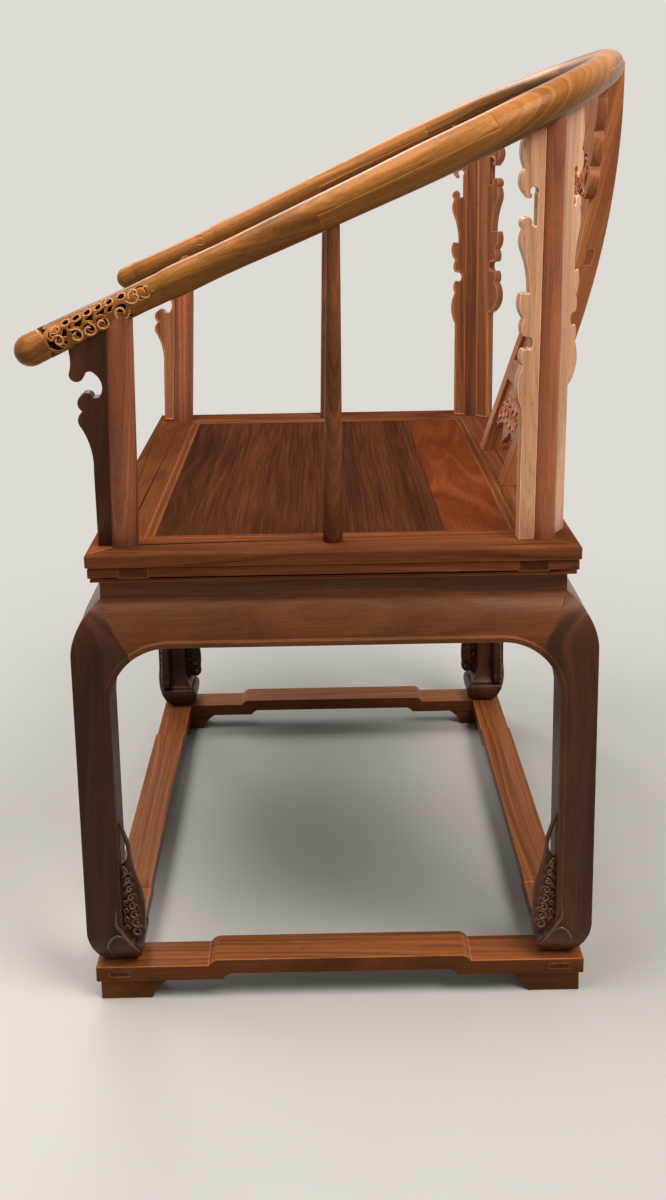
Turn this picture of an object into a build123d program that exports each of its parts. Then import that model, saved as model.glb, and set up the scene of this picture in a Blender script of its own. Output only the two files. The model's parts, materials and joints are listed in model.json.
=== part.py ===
from build123d import *
import math
import os

# Horseshoe-back armchair with a waisted, continuous-stretcher base.
# Millimetres, +Z up. The chair faces -Y and its left side is +X.
# Everything is laid out from the middle of the seat on the floor, and put
# under the middle of the whole chair when it is written out.

os.makedirs("parts", exist_ok=True)

# ---------------------------------------------------------------- driving sizes
SEAT_WIDTH = 630.0            # over the side rails
SEAT_DEPTH = 500.0            # over the front and rear rails
SEAT_THICK = 31.0
END_RAIL_WIDTH = 64.0         # front and rear seat rails
SIDE_RAIL_WIDTH = 58.0
PANEL_SINK = 1.5              # seat panel below the rails
PANEL_THICK = 12.5
TONGUE_THICK = 6.0
TONGUE_REACH = 6.0
BOARD_JOINT_Y = 118.0         # where the two seat boards meet
BRACE_WIDTH = 30.0
BRACE_OFFSET = 95.0           # each brace from the middle line
BRACE_TENON = 10.0

FOOT_HEIGHT = 23.3
FOOT_LENGTH = 76.0            # along each side, under the frame
FOOT_TOE = 55.0               # the same on the floor
FOOT_WIDTH = 34.0
FOOT_INSET = 4.0
BASE_THICK = 17.2
BASE_WIDTH = 41.0
BASE_OVERHANG = 10.0          # base frame beyond the seat frame
HUMP_RISE = 6.6               # middle of each base rail is lifted
HUMP_SLOPE = 9.0              # length of the step up
HUMP_END = 137.0              # from the base corner to the step
BASE_TENON_WIDTH = 21.0
BASE_TENON_THICK = 5.6
BASE_TENON_SETBACK = 15.0

LEG_HEIGHT = 405.5            # base frame to the top of the aprons
LEG_SIZE = 38.0
LEG_BULGE = 16.0              # leg faces beyond the seat edge
SHOULDER_DROP = 53.0
ARCH_RADIUS = 60.0            # between apron and leg
APRON_DEPTH = 43.0
APRON_THICK = 16.0
HEAD_SIZE = 67.0              # leg stock left behind the aprons
MITRE_REACH = 61.0            # shoulder mitre at the arch, from the leg face
HOOF_HEIGHT = 55.0
HOOF_REACH = 57.0             # toe of the hoof, from the leg face
HOOF_TOE_RISE = 20.0          # toe above the sole
HOOF_UNDERCUT = 17.0          # how far the sole stops short of the toe
HOOF_HEEL = 19.0              # how far the sole is set back
HOOF_TENON = 14.0
HOOF_TENON_DEPTH = 5.0
FLANGE_THICK = 11.0           # carved wing inside each lower leg
FLANGE_FACE = 5.0             # its setback from the leg face
FLANGE_LOW = 34.0             # its foot above the floor frame
FLANGE_TOP = 217.0            # height above the floor
CURL_COUNT = 6
CURL_PITCH = 12.8
CURL_RADIUS = 6.8             # of the lowest curl
CURL_TAPER = 0.5              # less with each curl above it
BEAD_WIDTH = 6.0              # flat bead round each opening between the legs
BEAD_PROUD = 1.2
BEAD_FOOT = 96.0              # height at which it runs out on the hoof

WAIST_HEIGHT = 20.0
WAIST_INSET = 12.0            # behind the seat edge
WAIST_THICK = 6.5

FRONT_POST_RADIUS = 14.3
FRONT_POST_TOP_RADIUS = 13.8
FRONT_POST_SIDE_INSET = 36.0  # from the seat's side edge
FRONT_POST_FRONT_INSET = 36.0
REAR_POST_RADIUS = 12.5
REAR_POST_TOP_RADIUS = 11.5
REAR_POST_SIDE_INSET = 33.0
REAR_POST_BACK_INSET = 34.5
POST_TENON_RADIUS = 7.0
FRONT_TENON_LENGTH = 9.0      # stops short of the openwork
REAR_TENON_LENGTH = 15.0

RAIL_PITCH = math.degrees(math.atan(0.451))   # the whole hand rail lies in one sloping plane
RAIL_BACK_Y = 318.8           # rail centre at the middle of the back
RAIL_BACK_Z = 980.5
RAIL_HALF_WIDTH = 331.0
RAIL_WRIST_Y = -212.0         # where the arms are closest, behind the hands
RAIL_HALF_AT_WRISTS = 306.0
RAIL_HALF_AT_HANDS = 313.0
RAIL_FRONT_Y = -290.0
FRONT_POST_TOP_Y = -204.5
REAR_POST_TOP_Y = 219.0
RAIL_HALF_AT_REAR_POSTS = 293.0
HAND_RADIUS = 16.2
RAIL_RADIUS_AT_WRISTS = 14.3
RAIL_RADIUS_AT_SHOULDER = 19.0
RAIL_RADIUS_AT_BACK = 16.0
RAIL_SECTIONS = 26
FRONT_RUN_Y = -160.0          # the arms' front ends start here
SCARF_ARM_Y = (-8.0, 155.0)   # ends of the lap between arm and shoulder piece
SCARF_BACK_X = (236.0, 96.0)  # ends of the lap between shoulder and centre piece
PIN_SIZE = 7.0

OPEN_START = 21.0             # openwork, along the arm from the hand's centre
OPEN_END = 108.5
HOLLOW_END = 80.0             # the arm is hollow up to here, and solid over the post's tenon
SHELL = 5.0                   # wall round the hollow
STRAND = 3.0                  # width of a strand
LINK_START = 43.0             # first of the upper row of links
LINK_PITCH = 12.0
LINK_COUNT = 5
LINK_RISE = 9.4               # row of links above the arm's axis
LINK_HOLE = (7.0, 3.0)
LINK_TILT = 8.0
VOLUTE_START = 48.0           # first of the lower row of volutes
VOLUTE_PITCH = 13.7
VOLUTE_COUNT = 3
VOLUTE_DROP = 6.0
VOLUTE_RADIUS = 9.0
VOLUTE_EYE = 2.6
BOSS_PLACE = (122.6, 4.6)     # round boss behind the openwork
BOSS_RADIUS = 6.4
BOSS_GROOVE = 1.6

STILE_BASE_RADIUS = 10.2
STILE_TOP_RADIUS = 6.2
STILE_INSET = 32.0            # from the side edge of the seat
STILE_TOP_Y = 5.0
STILE_BOW = 9.0

SPANDREL_THICK = 12.0
REAR_SPANDREL_TURN = 9.0      # degrees, following the rail above
REAR_SPANDREL_BASE = 27.5     # straight part, from the post's axis
REAR_SPANDREL_STRETCH = 1.1   # of its scallops, away from the post
INNER_SPANDREL_TURN = 232.0   # pointing back and in towards the splat
INNER_SPANDREL_LIFT = 17.5    # the same scallops hung higher up and further out
INNER_SPANDREL_BASE = 34.0
INNER_SPANDREL_STRETCH = 1.25
INNER_SPANDREL_SHIFT = 14.6

SPLAT_WIDTH = 190.0
SPLAT_THICK = 25.0
SPLAT_STILE_WIDTH = 24.0
SPLAT_FOOT_Y = 201.0          # front face on the seat
SPLAT_LEAN = 18.5             # degrees, of the straight lower part
SPLAT_RADIUS = 938.0          # of the curved upper part
SPLAT_PANEL_THICK = 8.0
SPLAT_PANEL_SETBACK = 5.0
SPLAT_RAIL_HEIGHT = 24.0
SPLAT_QUIRK = 1.2             # groove along the inner edge of each stile
SPLAT_QUIRK_INSET = 3.5
SPLAT_LOW_RAIL = 96.0         # underside, above the seat
SPLAT_MID_RAIL = 256.0
SPLAT_TOP_DROP = 14.0         # curve ends this far below the rail centre
SPLAT_TENON_THICK = 9.0
SPLAT_TENON_HEIGHT = 18.0
MEDALLION_HEIGHT = 350.0      # above the seat
MEDALLION_SCROLLS = [(0, 24.5, 12), (22.5, 17, 12), (41, 0, 14)]   # place and radius, one quarter
MEDALLION_GAP = 3.5           # round the outer scrolls
RELIEF_PROUD = 1.6            # scrolls on the bottom board
BRACKET_HEIGHT = 150.0        # below the rail centre
BRACKET_THICK = 11.0
BRACKET_PROUD = 6.0           # in front of the splat's face
BRACKET_REACH = 20.0

FIT = 0.1                     # clearance round a tenon or post

# ---------------------------------------------------------------- worked out
BASE_LOW = FOOT_HEIGHT
BASE_TOP = FOOT_HEIGHT + BASE_THICK
LEG_TOP = BASE_TOP + LEG_HEIGHT
SEAT_LOW = LEG_TOP + WAIST_HEIGHT
SEAT_TOP = SEAT_LOW + SEAT_THICK
HALF_W = SEAT_WIDTH / 2
HALF_D = SEAT_DEPTH / 2
FACE_X = HALF_W + LEG_BULGE
FACE_Y = HALF_D + LEG_BULGE
SHOULDER_REACH = LEG_BULGE + WAIST_INSET
SPLAT_TOP = RAIL_BACK_Z - SPLAT_TOP_DROP
SPLAT_BEND = SPLAT_TOP - SPLAT_RADIUS * math.sin(math.radians(SPLAT_LEAN))
SPLAT_INNER = SPLAT_WIDTH / 2 - SPLAT_STILE_WIDTH
PITCH_COS = math.cos(math.radians(RAIL_PITCH))
PITCH_TAN = math.tan(math.radians(RAIL_PITCH))
FAR = 1000.0


def box(x0, x1, y0, y1, z0, z1):
    """A box between two corners."""
    centre = Pos((x0 + x1) / 2, (y0 + y1) / 2, (z0 + z1) / 2)
    return centre * Box(abs(x1 - x0), abs(y1 - y0), abs(z1 - z0))


def outline(start, *steps):
    """A face from a chain of steps: (end,) is straight and (through, end) an arc."""
    edges = []
    here = start
    for step in steps:
        if len(step) == 1:
            edges.append(Line(here, step[0]))
        else:
            edges.append(ThreePointArc(here, step[0], step[1]))
        here = step[-1]
    edges.append(Line(here, start))
    return make_face(edges)


def along_x(face, x0, x1):
    """Sweep a face drawn in (Y, Z) along X."""
    turned = Plane((x0, 0, 0), x_dir=(0, 1, 0), z_dir=(1, 0, 0)) * face
    return extrude(turned, amount=x1 - x0, dir=(1, 0, 0))


def along_y(face, y0, y1):
    """Sweep a face drawn in (X, Z) along Y."""
    turned = Plane((0, y0, 0), x_dir=(1, 0, 0), z_dir=(0, -1, 0)) * face
    return extrude(turned, amount=y1 - y0, dir=(0, 1, 0))


def along_z(face, z0, z1):
    """Sweep a face drawn in (X, Y) upwards."""
    return extrude(Pos(0, 0, z0) * face, amount=z1 - z0, dir=(0, 0, 1))


def flip_x(part):
    """The same piece on the other side of the chair."""
    return mirror(part, about=Plane.YZ)


def flip_y(part):
    """The same piece at the other end of the chair."""
    return mirror(part, about=Plane.XZ)


def rod(foot, head, foot_radius, head_radius):
    """A straight tapering round bar between two points."""
    foot, head = Vector(*foot), Vector(*head)
    axis = head - foot
    stand = (Align.CENTER, Align.CENTER, Align.MIN)
    if foot_radius == head_radius:
        bar = Cylinder(foot_radius, axis.length, align=stand)
    else:
        bar = Cone(foot_radius, head_radius, axis.length, align=stand)
    return Plane(foot, z_dir=axis.normalized()) * bar


# ---------------------------------------------------------------- hand rail
def rail_z(y):
    """Height of the rail's centre at a given Y."""
    return RAIL_BACK_Z - (RAIL_BACK_Y - y) * PITCH_TAN


RAIL_PLANE = Plane(
    (0, 0, rail_z(0)),
    x_dir=(1, 0, 0),
    z_dir=(0, -math.sin(math.radians(RAIL_PITCH)), math.cos(math.radians(RAIL_PITCH))),
)


def rail_half_plan():
    """Centre line of the left half in plan, from the back to the hand."""
    return [
        (0, RAIL_BACK_Y),
        (RAIL_HALF_AT_REAR_POSTS * 0.66, RAIL_BACK_Y - 31),
        (RAIL_HALF_AT_REAR_POSTS, REAR_POST_TOP_Y),
        (RAIL_HALF_WIDTH, 90),
        ((RAIL_HALF_WIDTH + RAIL_HALF_AT_WRISTS) / 2 + 4, -60),
        (RAIL_HALF_AT_WRISTS, RAIL_WRIST_Y),
        (RAIL_HALF_AT_HANDS, RAIL_FRONT_Y),
    ]


def rail_path():
    """The rail's centre line, from the right hand round the back to the left hand."""
    left = rail_half_plan()
    right = [(-x, y) for x, y in reversed(left[1:])]
    flat = [(x, y / PITCH_COS) for x, y in right + left]
    return RAIL_PLANE * Spline(*flat)


RAIL = rail_path()


def rail_radius(y):
    """Radius of the rail's section, by how far forward it is."""
    stops = [
        (RAIL_FRONT_Y, HAND_RADIUS),
        (RAIL_WRIST_Y, RAIL_RADIUS_AT_WRISTS),
        (-100, RAIL_RADIUS_AT_WRISTS + 0.9),
        (0, (RAIL_RADIUS_AT_WRISTS + RAIL_RADIUS_AT_SHOULDER) / 2 + 0.4),
        (100, RAIL_RADIUS_AT_SHOULDER),
        (200, RAIL_RADIUS_AT_SHOULDER - 0.3),
        (RAIL_BACK_Y, RAIL_RADIUS_AT_BACK),
    ]
    for (y0, r0), (y1, r1) in zip(stops, stops[1:]):
        if y <= y1:
            share = max(0.0, (y - y0) / (y1 - y0))
            return r0 + (r1 - r0) * share
    return RAIL_RADIUS_AT_BACK


def rail_param(y):
    """Where on the left half the rail's centre line passes a given Y."""
    low, high = 0.5, 1.0
    for _ in range(40):
        middle = (low + high) / 2
        if (RAIL @ middle).Y > y:
            low = middle
        else:
            high = middle
    return low


def rail_param_at_x(x):
    """Where on the left shoulder the centre line passes a given X."""
    low, high = 0.5, rail_param(REAR_POST_TOP_Y)
    for _ in range(40):
        middle = (low + high) / 2
        if (RAIL @ middle).X < x:
            low = middle
        else:
            high = middle
    return low


def rail_point(y):
    """Centre of the left half of the rail at a given Y."""
    return RAIL @ rail_param(y)


def rail_run(t0, t1, extra=0.0, sections=6):
    """A length of the rail, lofted through round sections."""
    rings = []
    for i in range(sections + 1):
        t = t0 + (t1 - t0) * i / sections
        at = RAIL @ t
        plane = Plane(at, z_dir=RAIL % t)
        rings.append(plane * Circle(rail_radius(at.Y) + extra))
    return loft(rings)


def rail_front(extra=0.0):
    """The left arm's front end with its rounded hand."""
    knob = Pos(*(RAIL @ 1)) * Sphere(HAND_RADIUS + extra)
    return rail_run(rail_param(FRONT_RUN_Y), 1.0, extra) + knob


def rail_middle(extra=0.0):
    """The rail between its two front ends."""
    end = rail_param(FRONT_RUN_Y)
    return rail_run(1 - end, end, extra, RAIL_SECTIONS)


def rail_solid(extra):
    """The whole rail in one, to cut other pieces against."""
    front = rail_front(extra)
    return rail_middle(extra) + front + flip_x(front)


def cut_plane(t):
    """A plane square across the rail, facing towards the hand."""
    return Plane(RAIL @ t, z_dir=RAIL % t)


def rail_pieces():
    """Centre, left shoulder and left arm as far as its front end, lapped in scarf joints."""
    half = split(rail_middle(), bisect_by=Plane.YZ, keep=Keep.TOP)
    back_outer = cut_plane(rail_param_at_x(SCARF_BACK_X[1]))
    back_inner = cut_plane(rail_param_at_x(SCARF_BACK_X[0]))
    arm_inner = cut_plane(rail_param(SCARF_ARM_Y[1]))
    arm_outer = cut_plane(rail_param(SCARF_ARM_Y[0]))
    runs = []
    rest = half
    for plane in (back_outer, back_inner, arm_inner, arm_outer):
        runs.append(split(rest, bisect_by=plane, keep=Keep.BOTTOM))
        rest = split(rest, bisect_by=plane, keep=Keep.TOP)
    middle, back_lap, shoulder, arm_lap = runs
    centre_half = middle + split(back_lap, bisect_by=RAIL_PLANE, keep=Keep.BOTTOM)
    shoulder += split(back_lap, bisect_by=RAIL_PLANE, keep=Keep.TOP)
    shoulder += split(arm_lap, bisect_by=RAIL_PLANE, keep=Keep.BOTTOM)
    arm = rest + split(arm_lap, bisect_by=RAIL_PLANE, keep=Keep.TOP)
    return centre_half + flip_x(centre_half), shoulder, arm


def scarf_pins():
    """Square wedge pins through the middle of each lap, left side."""
    places = [
        (rail_param(SCARF_ARM_Y[0]) + rail_param(SCARF_ARM_Y[1])) / 2,
        (rail_param_at_x(SCARF_BACK_X[0]) + rail_param_at_x(SCARF_BACK_X[1])) / 2,
    ]
    pins = []
    for t in places:
        at = RAIL @ t
        length = 2 * rail_radius(at.Y) - 1.0
        plane = Plane(at, x_dir=RAIL % t, z_dir=RAIL_PLANE.z_dir)
        pins.append(plane * Box(PIN_SIZE, PIN_SIZE, length))
    return pins


# ---------------------------------------------------------------- openwork of the arm ends
ARM_VIEW = Plane(
    (RAIL_HALF_AT_WRISTS - 40, RAIL_FRONT_Y, rail_z(RAIL_FRONT_Y)),
    x_dir=(0, PITCH_COS, math.sin(math.radians(RAIL_PITCH))),
    z_dir=(1, 0, 0),
)


def through_arm(face):
    """Push a face drawn in side view of the left arm, X along it and Y above its axis, right through it."""
    return ARM_VIEW * extrude(face, amount=80)


def link_places():
    """Centres of the upper row of links."""
    return [(LINK_START + i * LINK_PITCH, LINK_RISE) for i in range(LINK_COUNT)]


def volute_places():
    """Centres of the lower row of volutes."""
    return [(VOLUTE_START + i * VOLUTE_PITCH, -VOLUTE_DROP) for i in range(VOLUTE_COUNT)]


def annulus(place, outer, inner):
    """A flat ring about a point."""
    return Pos(*place) * (Circle(outer) - Circle(inner))


def volute(place, radius, eye):
    """A scroll: an open ring with a pierced eye that leans on its rear side."""
    s, v = place
    lean = radius - STRAND - eye - STRAND * 0.6
    return annulus(place, radius, radius - STRAND) + annulus((s + lean + 1.0, v), eye + STRAND * 0.7, eye)


def strand_view():
    """Side view of all that stays of the arm between the knob and the collar."""
    length = OPEN_END - OPEN_START
    middle = (OPEN_START + OPEN_END) / 2
    view = Pos(middle, 18.0) * Rectangle(length, 11.0)
    for place in link_places():
        outer = SlotOverall(LINK_HOLE[0] + 2 * STRAND, LINK_HOLE[1] + 2 * STRAND - 1)
        view += Pos(*place) * (Rot(0, 0, LINK_TILT) * (outer - SlotOverall(*LINK_HOLE)))
        view += Pos(place[0] - LINK_PITCH / 2, 4.3) * (Rot(0, 0, -35) * Rectangle(STRAND, 8))
    for place in volute_places():
        view += volute(place, VOLUTE_RADIUS, VOLUTE_EYE)
    # lip and small scrolls against the knob
    view += annulus((31, -1), 14.5, 14.5 - STRAND)
    view += volute((27.5, 5.0), 6.6, 1.6)
    view += volute((35.0, -7.5), 6.6, 1.6)
    view += Pos(34.5, 9.8) * (Rot(0, 0, 24) * Rectangle(12, STRAND))
    # solid over the post's tenon, pierced by an oval, with two rods behind it
    oval = Pos(98.5, -0.5)
    block = Pos(92, -8) * Rectangle(20, 18) + oval * Ellipse(9.2, 7.2)
    view += block - oval * Ellipse(5.8, 3.8)
    for drop in (8.6, 13.6):
        view += Pos(103, -drop) * Rectangle(12, STRAND)
    view += Pos(104, 9.5) * (Ellipse(8.5, 5.4) - Ellipse(5.4, 2.4))
    view += Pos(OPEN_END - 1, 0) * Rectangle(3, 40)
    return view


def carve_arm(front):
    """Pierce the front end into strands, hollow it and cut the round boss behind."""
    region = Pos(OPEN_END / 2, 0) * Rectangle(OPEN_END, 47) - Circle(OPEN_START)
    front = front - through_arm(region - strand_view())
    start, end = OPEN_START + SHELL * 1.6, HOLLOW_END
    hollow = ARM_VIEW * (Pos((start + end) / 2, -1, 0) * Box(end - start, 60, 160))
    front = front - (rail_run(rail_param(FRONT_RUN_Y), 1.0, -SHELL) & hollow)
    ring = through_arm(annulus(BOSS_PLACE, BOSS_RADIUS, BOSS_RADIUS - BOSS_GROOVE))
    return front - (ring - rail_run(rail_param(FRONT_RUN_Y), 1.0, -BOSS_GROOVE))


# ---------------------------------------------------------------- legs and aprons
def shoulder_arc(sign):
    """Through-point and end of the shoulder curve, from waist to leg face, drawn outwards by sign."""
    radius = (SHOULDER_REACH**2 + SHOULDER_DROP**2) / (2 * SHOULDER_REACH)
    sweep = math.asin(SHOULDER_DROP / radius) / 2
    through = (sign * radius * (1 - math.cos(sweep)), LEG_TOP - SHOULDER_DROP + radius * math.sin(sweep))
    return through, (0, LEG_TOP - SHOULDER_DROP)


def arch_height(reach):
    """Height of the arch between leg and apron, by distance from the leg face."""
    centre = LEG_SIZE + ARCH_RADIUS
    low = LEG_TOP - APRON_DEPTH - ARCH_RADIUS
    return low + math.sqrt(max(0.0, ARCH_RADIUS**2 - (centre - min(reach, centre)) ** 2))


def leg_profile():
    """Side view of a leg: shoulder, straight shaft and hoof. X is the distance in from the face."""
    through, shoulder_end = shoulder_arc(1)
    middle = (LEG_SIZE + HEAD_SIZE) / 2 - 6
    arch_foot = LEG_TOP - APRON_DEPTH - ARCH_RADIUS
    toe = BASE_TOP + HOOF_TOE_RISE
    return outline(
        (SHOULDER_REACH, LEG_TOP),
        (through, shoulder_end),
        ((0, BASE_TOP + HOOF_HEIGHT),),
        ((5, BASE_TOP + 22), (HOOF_HEEL, BASE_TOP)),
        ((HOOF_REACH - HOOF_UNDERCUT, BASE_TOP),),
        ((HOOF_REACH - 5, BASE_TOP + 6), (HOOF_REACH, toe)),
        ((HOOF_REACH - 2.5, toe + 7), (HOOF_REACH - 8, toe + 10)),
        ((LEG_SIZE + 4, toe + 20), (LEG_SIZE, toe + 42)),
        ((LEG_SIZE, arch_foot),),
        ((middle, arch_height(middle)), (HEAD_SIZE, arch_height(HEAD_SIZE))),
        ((HEAD_SIZE, LEG_TOP),),
    )


def leg_flange():
    """Pierced carving in one plane, in the leg's corner frame: X in along the side, Z up."""
    low = BASE_TOP + FLANGE_LOW
    root = LEG_SIZE - 2
    rim = outline(
        (root, low),
        ((LEG_SIZE + 19, low),),
        ((LEG_SIZE + 23.5, low + 26), (LEG_SIZE + 19, low + 58)),
        ((LEG_SIZE + 12.5, low + 82), (LEG_SIZE + 10, low + 105)),
        ((root, FLANGE_TOP),),
    )
    slit = outline(
        (LEG_SIZE + 1, low + 82),
        ((LEG_SIZE + 7, low + 92), (LEG_SIZE + 7, low + 104)),
        ((LEG_SIZE + 1, low + 129),),
    )
    field_back = FLANGE_FACE + FLANGE_THICK
    plate = along_y(rim - slit, FLANGE_FACE + 1.5, field_back - 1.5)
    for i in range(CURL_COUNT):
        radius = CURL_RADIUS - CURL_TAPER * i
        outer = Pos(LEG_SIZE + 16.5 - 1.8 * i, low + 9 + CURL_PITCH * i)
        inner = Pos(LEG_SIZE + 5.5 - 0.3 * i, low + 9 + CURL_PITCH * (i + 0.5))
        curls = outer * Circle(radius) + inner * Circle(radius * 0.7)
        eyes = outer * Circle(radius * 0.36) + inner * Circle(radius * 0.25)
        plate += along_y(curls, FLANGE_FACE, field_back)
        plate -= along_y(eyes, FLANGE_FACE - 1, field_back + 1)
    return plate


def leg_corner(side_inset, end_inset, radius):
    """A leg in its corner frame: origin at the outer corner, X and Y inwards. The insets are the post's."""
    face = leg_profile()
    shaft = along_y(face, 0, HEAD_SIZE) & along_x(face, 0, HEAD_SIZE)
    wing = leg_flange()
    turned = mirror(wing, about=Plane((0, 0, 0), z_dir=(1, -1, 0)))
    half = radius + 1
    post_x, post_y = side_inset + LEG_BULGE, end_inset + LEG_BULGE
    neck = box(post_x - half, post_x + half, post_y - half, post_y + half, LEG_TOP - 10, SEAT_LOW)
    middle = (HOOF_HEEL + HOOF_REACH - HOOF_UNDERCUT) / 2
    tenon = Pos(middle, middle, BASE_TOP - HOOF_TENON_DEPTH / 2 + 1) * Box(
        HOOF_TENON, HOOF_TENON, HOOF_TENON_DEPTH + 2
    )
    return shaft + wing + turned + neck + tenon


def post_ends(front):
    """Foot and head of the left post, on the underside of the seat and on the rail's centre line."""
    if front:
        foot = (HALF_W - FRONT_POST_SIDE_INSET, -HALF_D + FRONT_POST_FRONT_INSET, SEAT_LOW)
        head = rail_point(FRONT_POST_TOP_Y)
    else:
        foot = (HALF_W - REAR_POST_SIDE_INSET, HALF_D - REAR_POST_BACK_INSET, SEAT_LOW)
        head = rail_point(REAR_POST_TOP_Y)
    return foot, tuple(head)


def post(front, extra=0.0):
    """The left round post that carries on from the leg through the seat frame."""
    foot, head = post_ends(front)
    if front:
        return rod(foot, head, FRONT_POST_RADIUS + extra, FRONT_POST_TOP_RADIUS + extra)
    return rod(foot, head, REAR_POST_RADIUS + extra, REAR_POST_TOP_RADIUS + extra)


def post_tenon(front, extra=0.0):
    """Round tenon from the post's head into the rail."""
    foot, head = Vector(*post_ends(front)[0]), Vector(*post_ends(front)[1])
    axis = (head - foot).normalized()
    root = 12
    start = head - axis * (rail_radius(head.Y) + root)
    length = FRONT_TENON_LENGTH if front else REAR_TENON_LENGTH
    end = start + axis * (root + length + extra)
    return rod(tuple(start), tuple(end), POST_TENON_RADIUS + extra, POST_TENON_RADIUS + extra)


def apron_view(half_length):
    """Face-on outline of an apron, between its shoulder mitres."""
    low = LEG_TOP - APRON_DEPTH
    top_x = half_length - SHOULDER_REACH
    mitre_x, mitre_z = half_length - MITRE_REACH, arch_height(MITRE_REACH)
    flat_x = half_length - LEG_SIZE - ARCH_RADIUS
    bend_x = (mitre_x + flat_x) / 2
    bend_z = arch_height(half_length - bend_x)
    return outline(
        (-top_x, LEG_TOP),
        ((-mitre_x, mitre_z),),
        ((-bend_x, bend_z), (-flat_x, low)),
        ((flat_x, low),),
        ((bend_x, bend_z), (mitre_x, mitre_z)),
        ((top_x, LEG_TOP),),
    )


def apron_section():
    """Cross-section of an apron: bulging face, leaning back. X is the distance in from the leg face."""
    through, end = shoulder_arc(1)
    low = LEG_TOP - APRON_DEPTH - 20
    return outline(
        (SHOULDER_REACH, LEG_TOP),
        (through, end),
        ((0, low),),
        ((APRON_THICK, low),),
        ((APRON_THICK, LEG_TOP - APRON_DEPTH),),
        ((SHOULDER_REACH + APRON_THICK, LEG_TOP),),
    )


def opening_view(half_length, extra):
    """Face-on outline of the opening between two legs, widened by extra."""
    low = LEG_TOP - APRON_DEPTH + extra
    foot = LEG_TOP - APRON_DEPTH - ARCH_RADIUS
    side = half_length - LEG_SIZE + extra
    flat = half_length - LEG_SIZE - ARCH_RADIUS
    swing = (ARCH_RADIUS + extra) * math.sqrt(0.5)
    return outline(
        (-side, BEAD_FOOT),
        ((-side, foot),),
        ((-flat - swing, foot + swing), (-flat, low)),
        ((flat, low),),
        ((flat + swing, foot + swing), (side, foot)),
        ((side, BEAD_FOOT),),
    )


def front_bead():
    """The raised bead round the front opening, on legs and apron alike."""
    view = opening_view(FACE_X, BEAD_WIDTH) - opening_view(FACE_X, 0)
    return along_y(view, -FACE_Y - BEAD_PROUD, -FACE_Y + 3)


def left_bead():
    """The raised bead round the left opening."""
    view = opening_view(FACE_Y, BEAD_WIDTH) - opening_view(FACE_Y, 0)
    return along_x(view, FACE_X - 3, FACE_X + BEAD_PROUD)


def mitre_plan(half_length, half_across, depth):
    """Plan of a strip along the front edge, cut at 45 degrees at both ends."""
    return outline(
        (-half_length, -half_across),
        ((half_length, -half_across),),
        ((half_length - depth, -half_across + depth),),
        ((-half_length + depth, -half_across + depth),),
    )


def apron_mitre(half_length, half_across):
    """Keeps an apron and its bead inside its 45 degree ends."""
    plan = mitre_plan(half_length + BEAD_PROUD, half_across + BEAD_PROUD, HEAD_SIZE + BEAD_PROUD)
    return along_z(plan, 0, LEG_TOP)


def front_apron():
    """Front apron: bulging section, shoulder mitres in the face and 45 degree ends behind."""
    section = Pos(-FACE_Y, 0) * apron_section()
    bar = along_x(section, -FACE_X, FACE_X) + front_bead()
    bar = bar & along_y(apron_view(FACE_X), -FACE_Y - BEAD_PROUD, 0)
    return bar & apron_mitre(FACE_X, FACE_Y)


def left_apron():
    """Left apron, cut like the front one."""
    section = mirror(apron_section(), about=Plane.YZ)
    bar = along_y(Pos(FACE_X, 0) * section, -FACE_Y, FACE_Y) + left_bead()
    bar = bar & along_x(apron_view(FACE_Y), 0, FACE_X + BEAD_PROUD)
    return bar & (Rot(0, 0, 90) * apron_mitre(FACE_Y, FACE_X))


def waist_strip(half_length, half_across):
    """The front strip of a mitred waist with the given outer half sizes."""
    return along_z(mitre_plan(half_length, half_across, WAIST_THICK), LEG_TOP, SEAT_LOW)


# ---------------------------------------------------------------- seat frame
def edge_profile(width):
    """Cross-section of a seat rail. X runs in from the outer edge, Y is height."""
    panel_low = SEAT_TOP - PANEL_SINK - PANEL_THICK
    top = SEAT_TOP
    round_over = 3.0
    bead = width - 10.0
    return outline(
        (4, SEAT_LOW),
        ((4, SEAT_LOW + 3.6),),
        ((5.5, SEAT_LOW + 4.3),),
        ((2, SEAT_LOW + 5),),
        ((2, top - 16),),
        ((3.5, top - 15.2),),
        ((0, top - 14.4),),
        ((0, top - round_over),),
        ((round_over * 0.3, top - round_over * 0.3), (round_over, top)),
        ((bead, top),),
        ((bead + 0.6, top - 0.9),),
        ((bead + 1.2, top),),
        ((width - 1.5, top),),
        ((width, top - 1.5),),
        ((width, panel_low + TONGUE_THICK),),
        ((width - TONGUE_REACH - 1, panel_low + TONGUE_THICK),),
        ((width - TONGUE_REACH - 1, panel_low),),
        ((width, panel_low),),
        ((width, SEAT_LOW),),
    )


def seat_tenon_span():
    """Y and Z range of the through-tenons on the front rail's ends."""
    outer = -HALF_D + END_RAIL_WIDTH / 2 + 1.2
    return outer, outer + 30.0, SEAT_TOP - 25.5, SEAT_TOP - 16.0


def front_seat_rail():
    """Front rail: mitred at both ends, with a tenon through each side rail."""
    bar = along_x(Pos(-HALF_D, 0) * edge_profile(END_RAIL_WIDTH), -HALF_W, HALF_W)
    inner = HALF_W - SIDE_RAIL_WIDTH
    plan = outline(
        (-HALF_W, -HALF_D),
        ((HALF_W, -HALF_D),),
        ((inner, -HALF_D + END_RAIL_WIDTH),),
        ((-inner, -HALF_D + END_RAIL_WIDTH),),
    )
    rail = bar & along_z(plan, SEAT_LOW, SEAT_TOP)
    y0, y1, z0, z1 = seat_tenon_span()
    for side in (-1, 1):
        rail += box(side * (inner - 4), side * (HALF_W - 2), y0, y1, z0, z1)
    return rail


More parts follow.
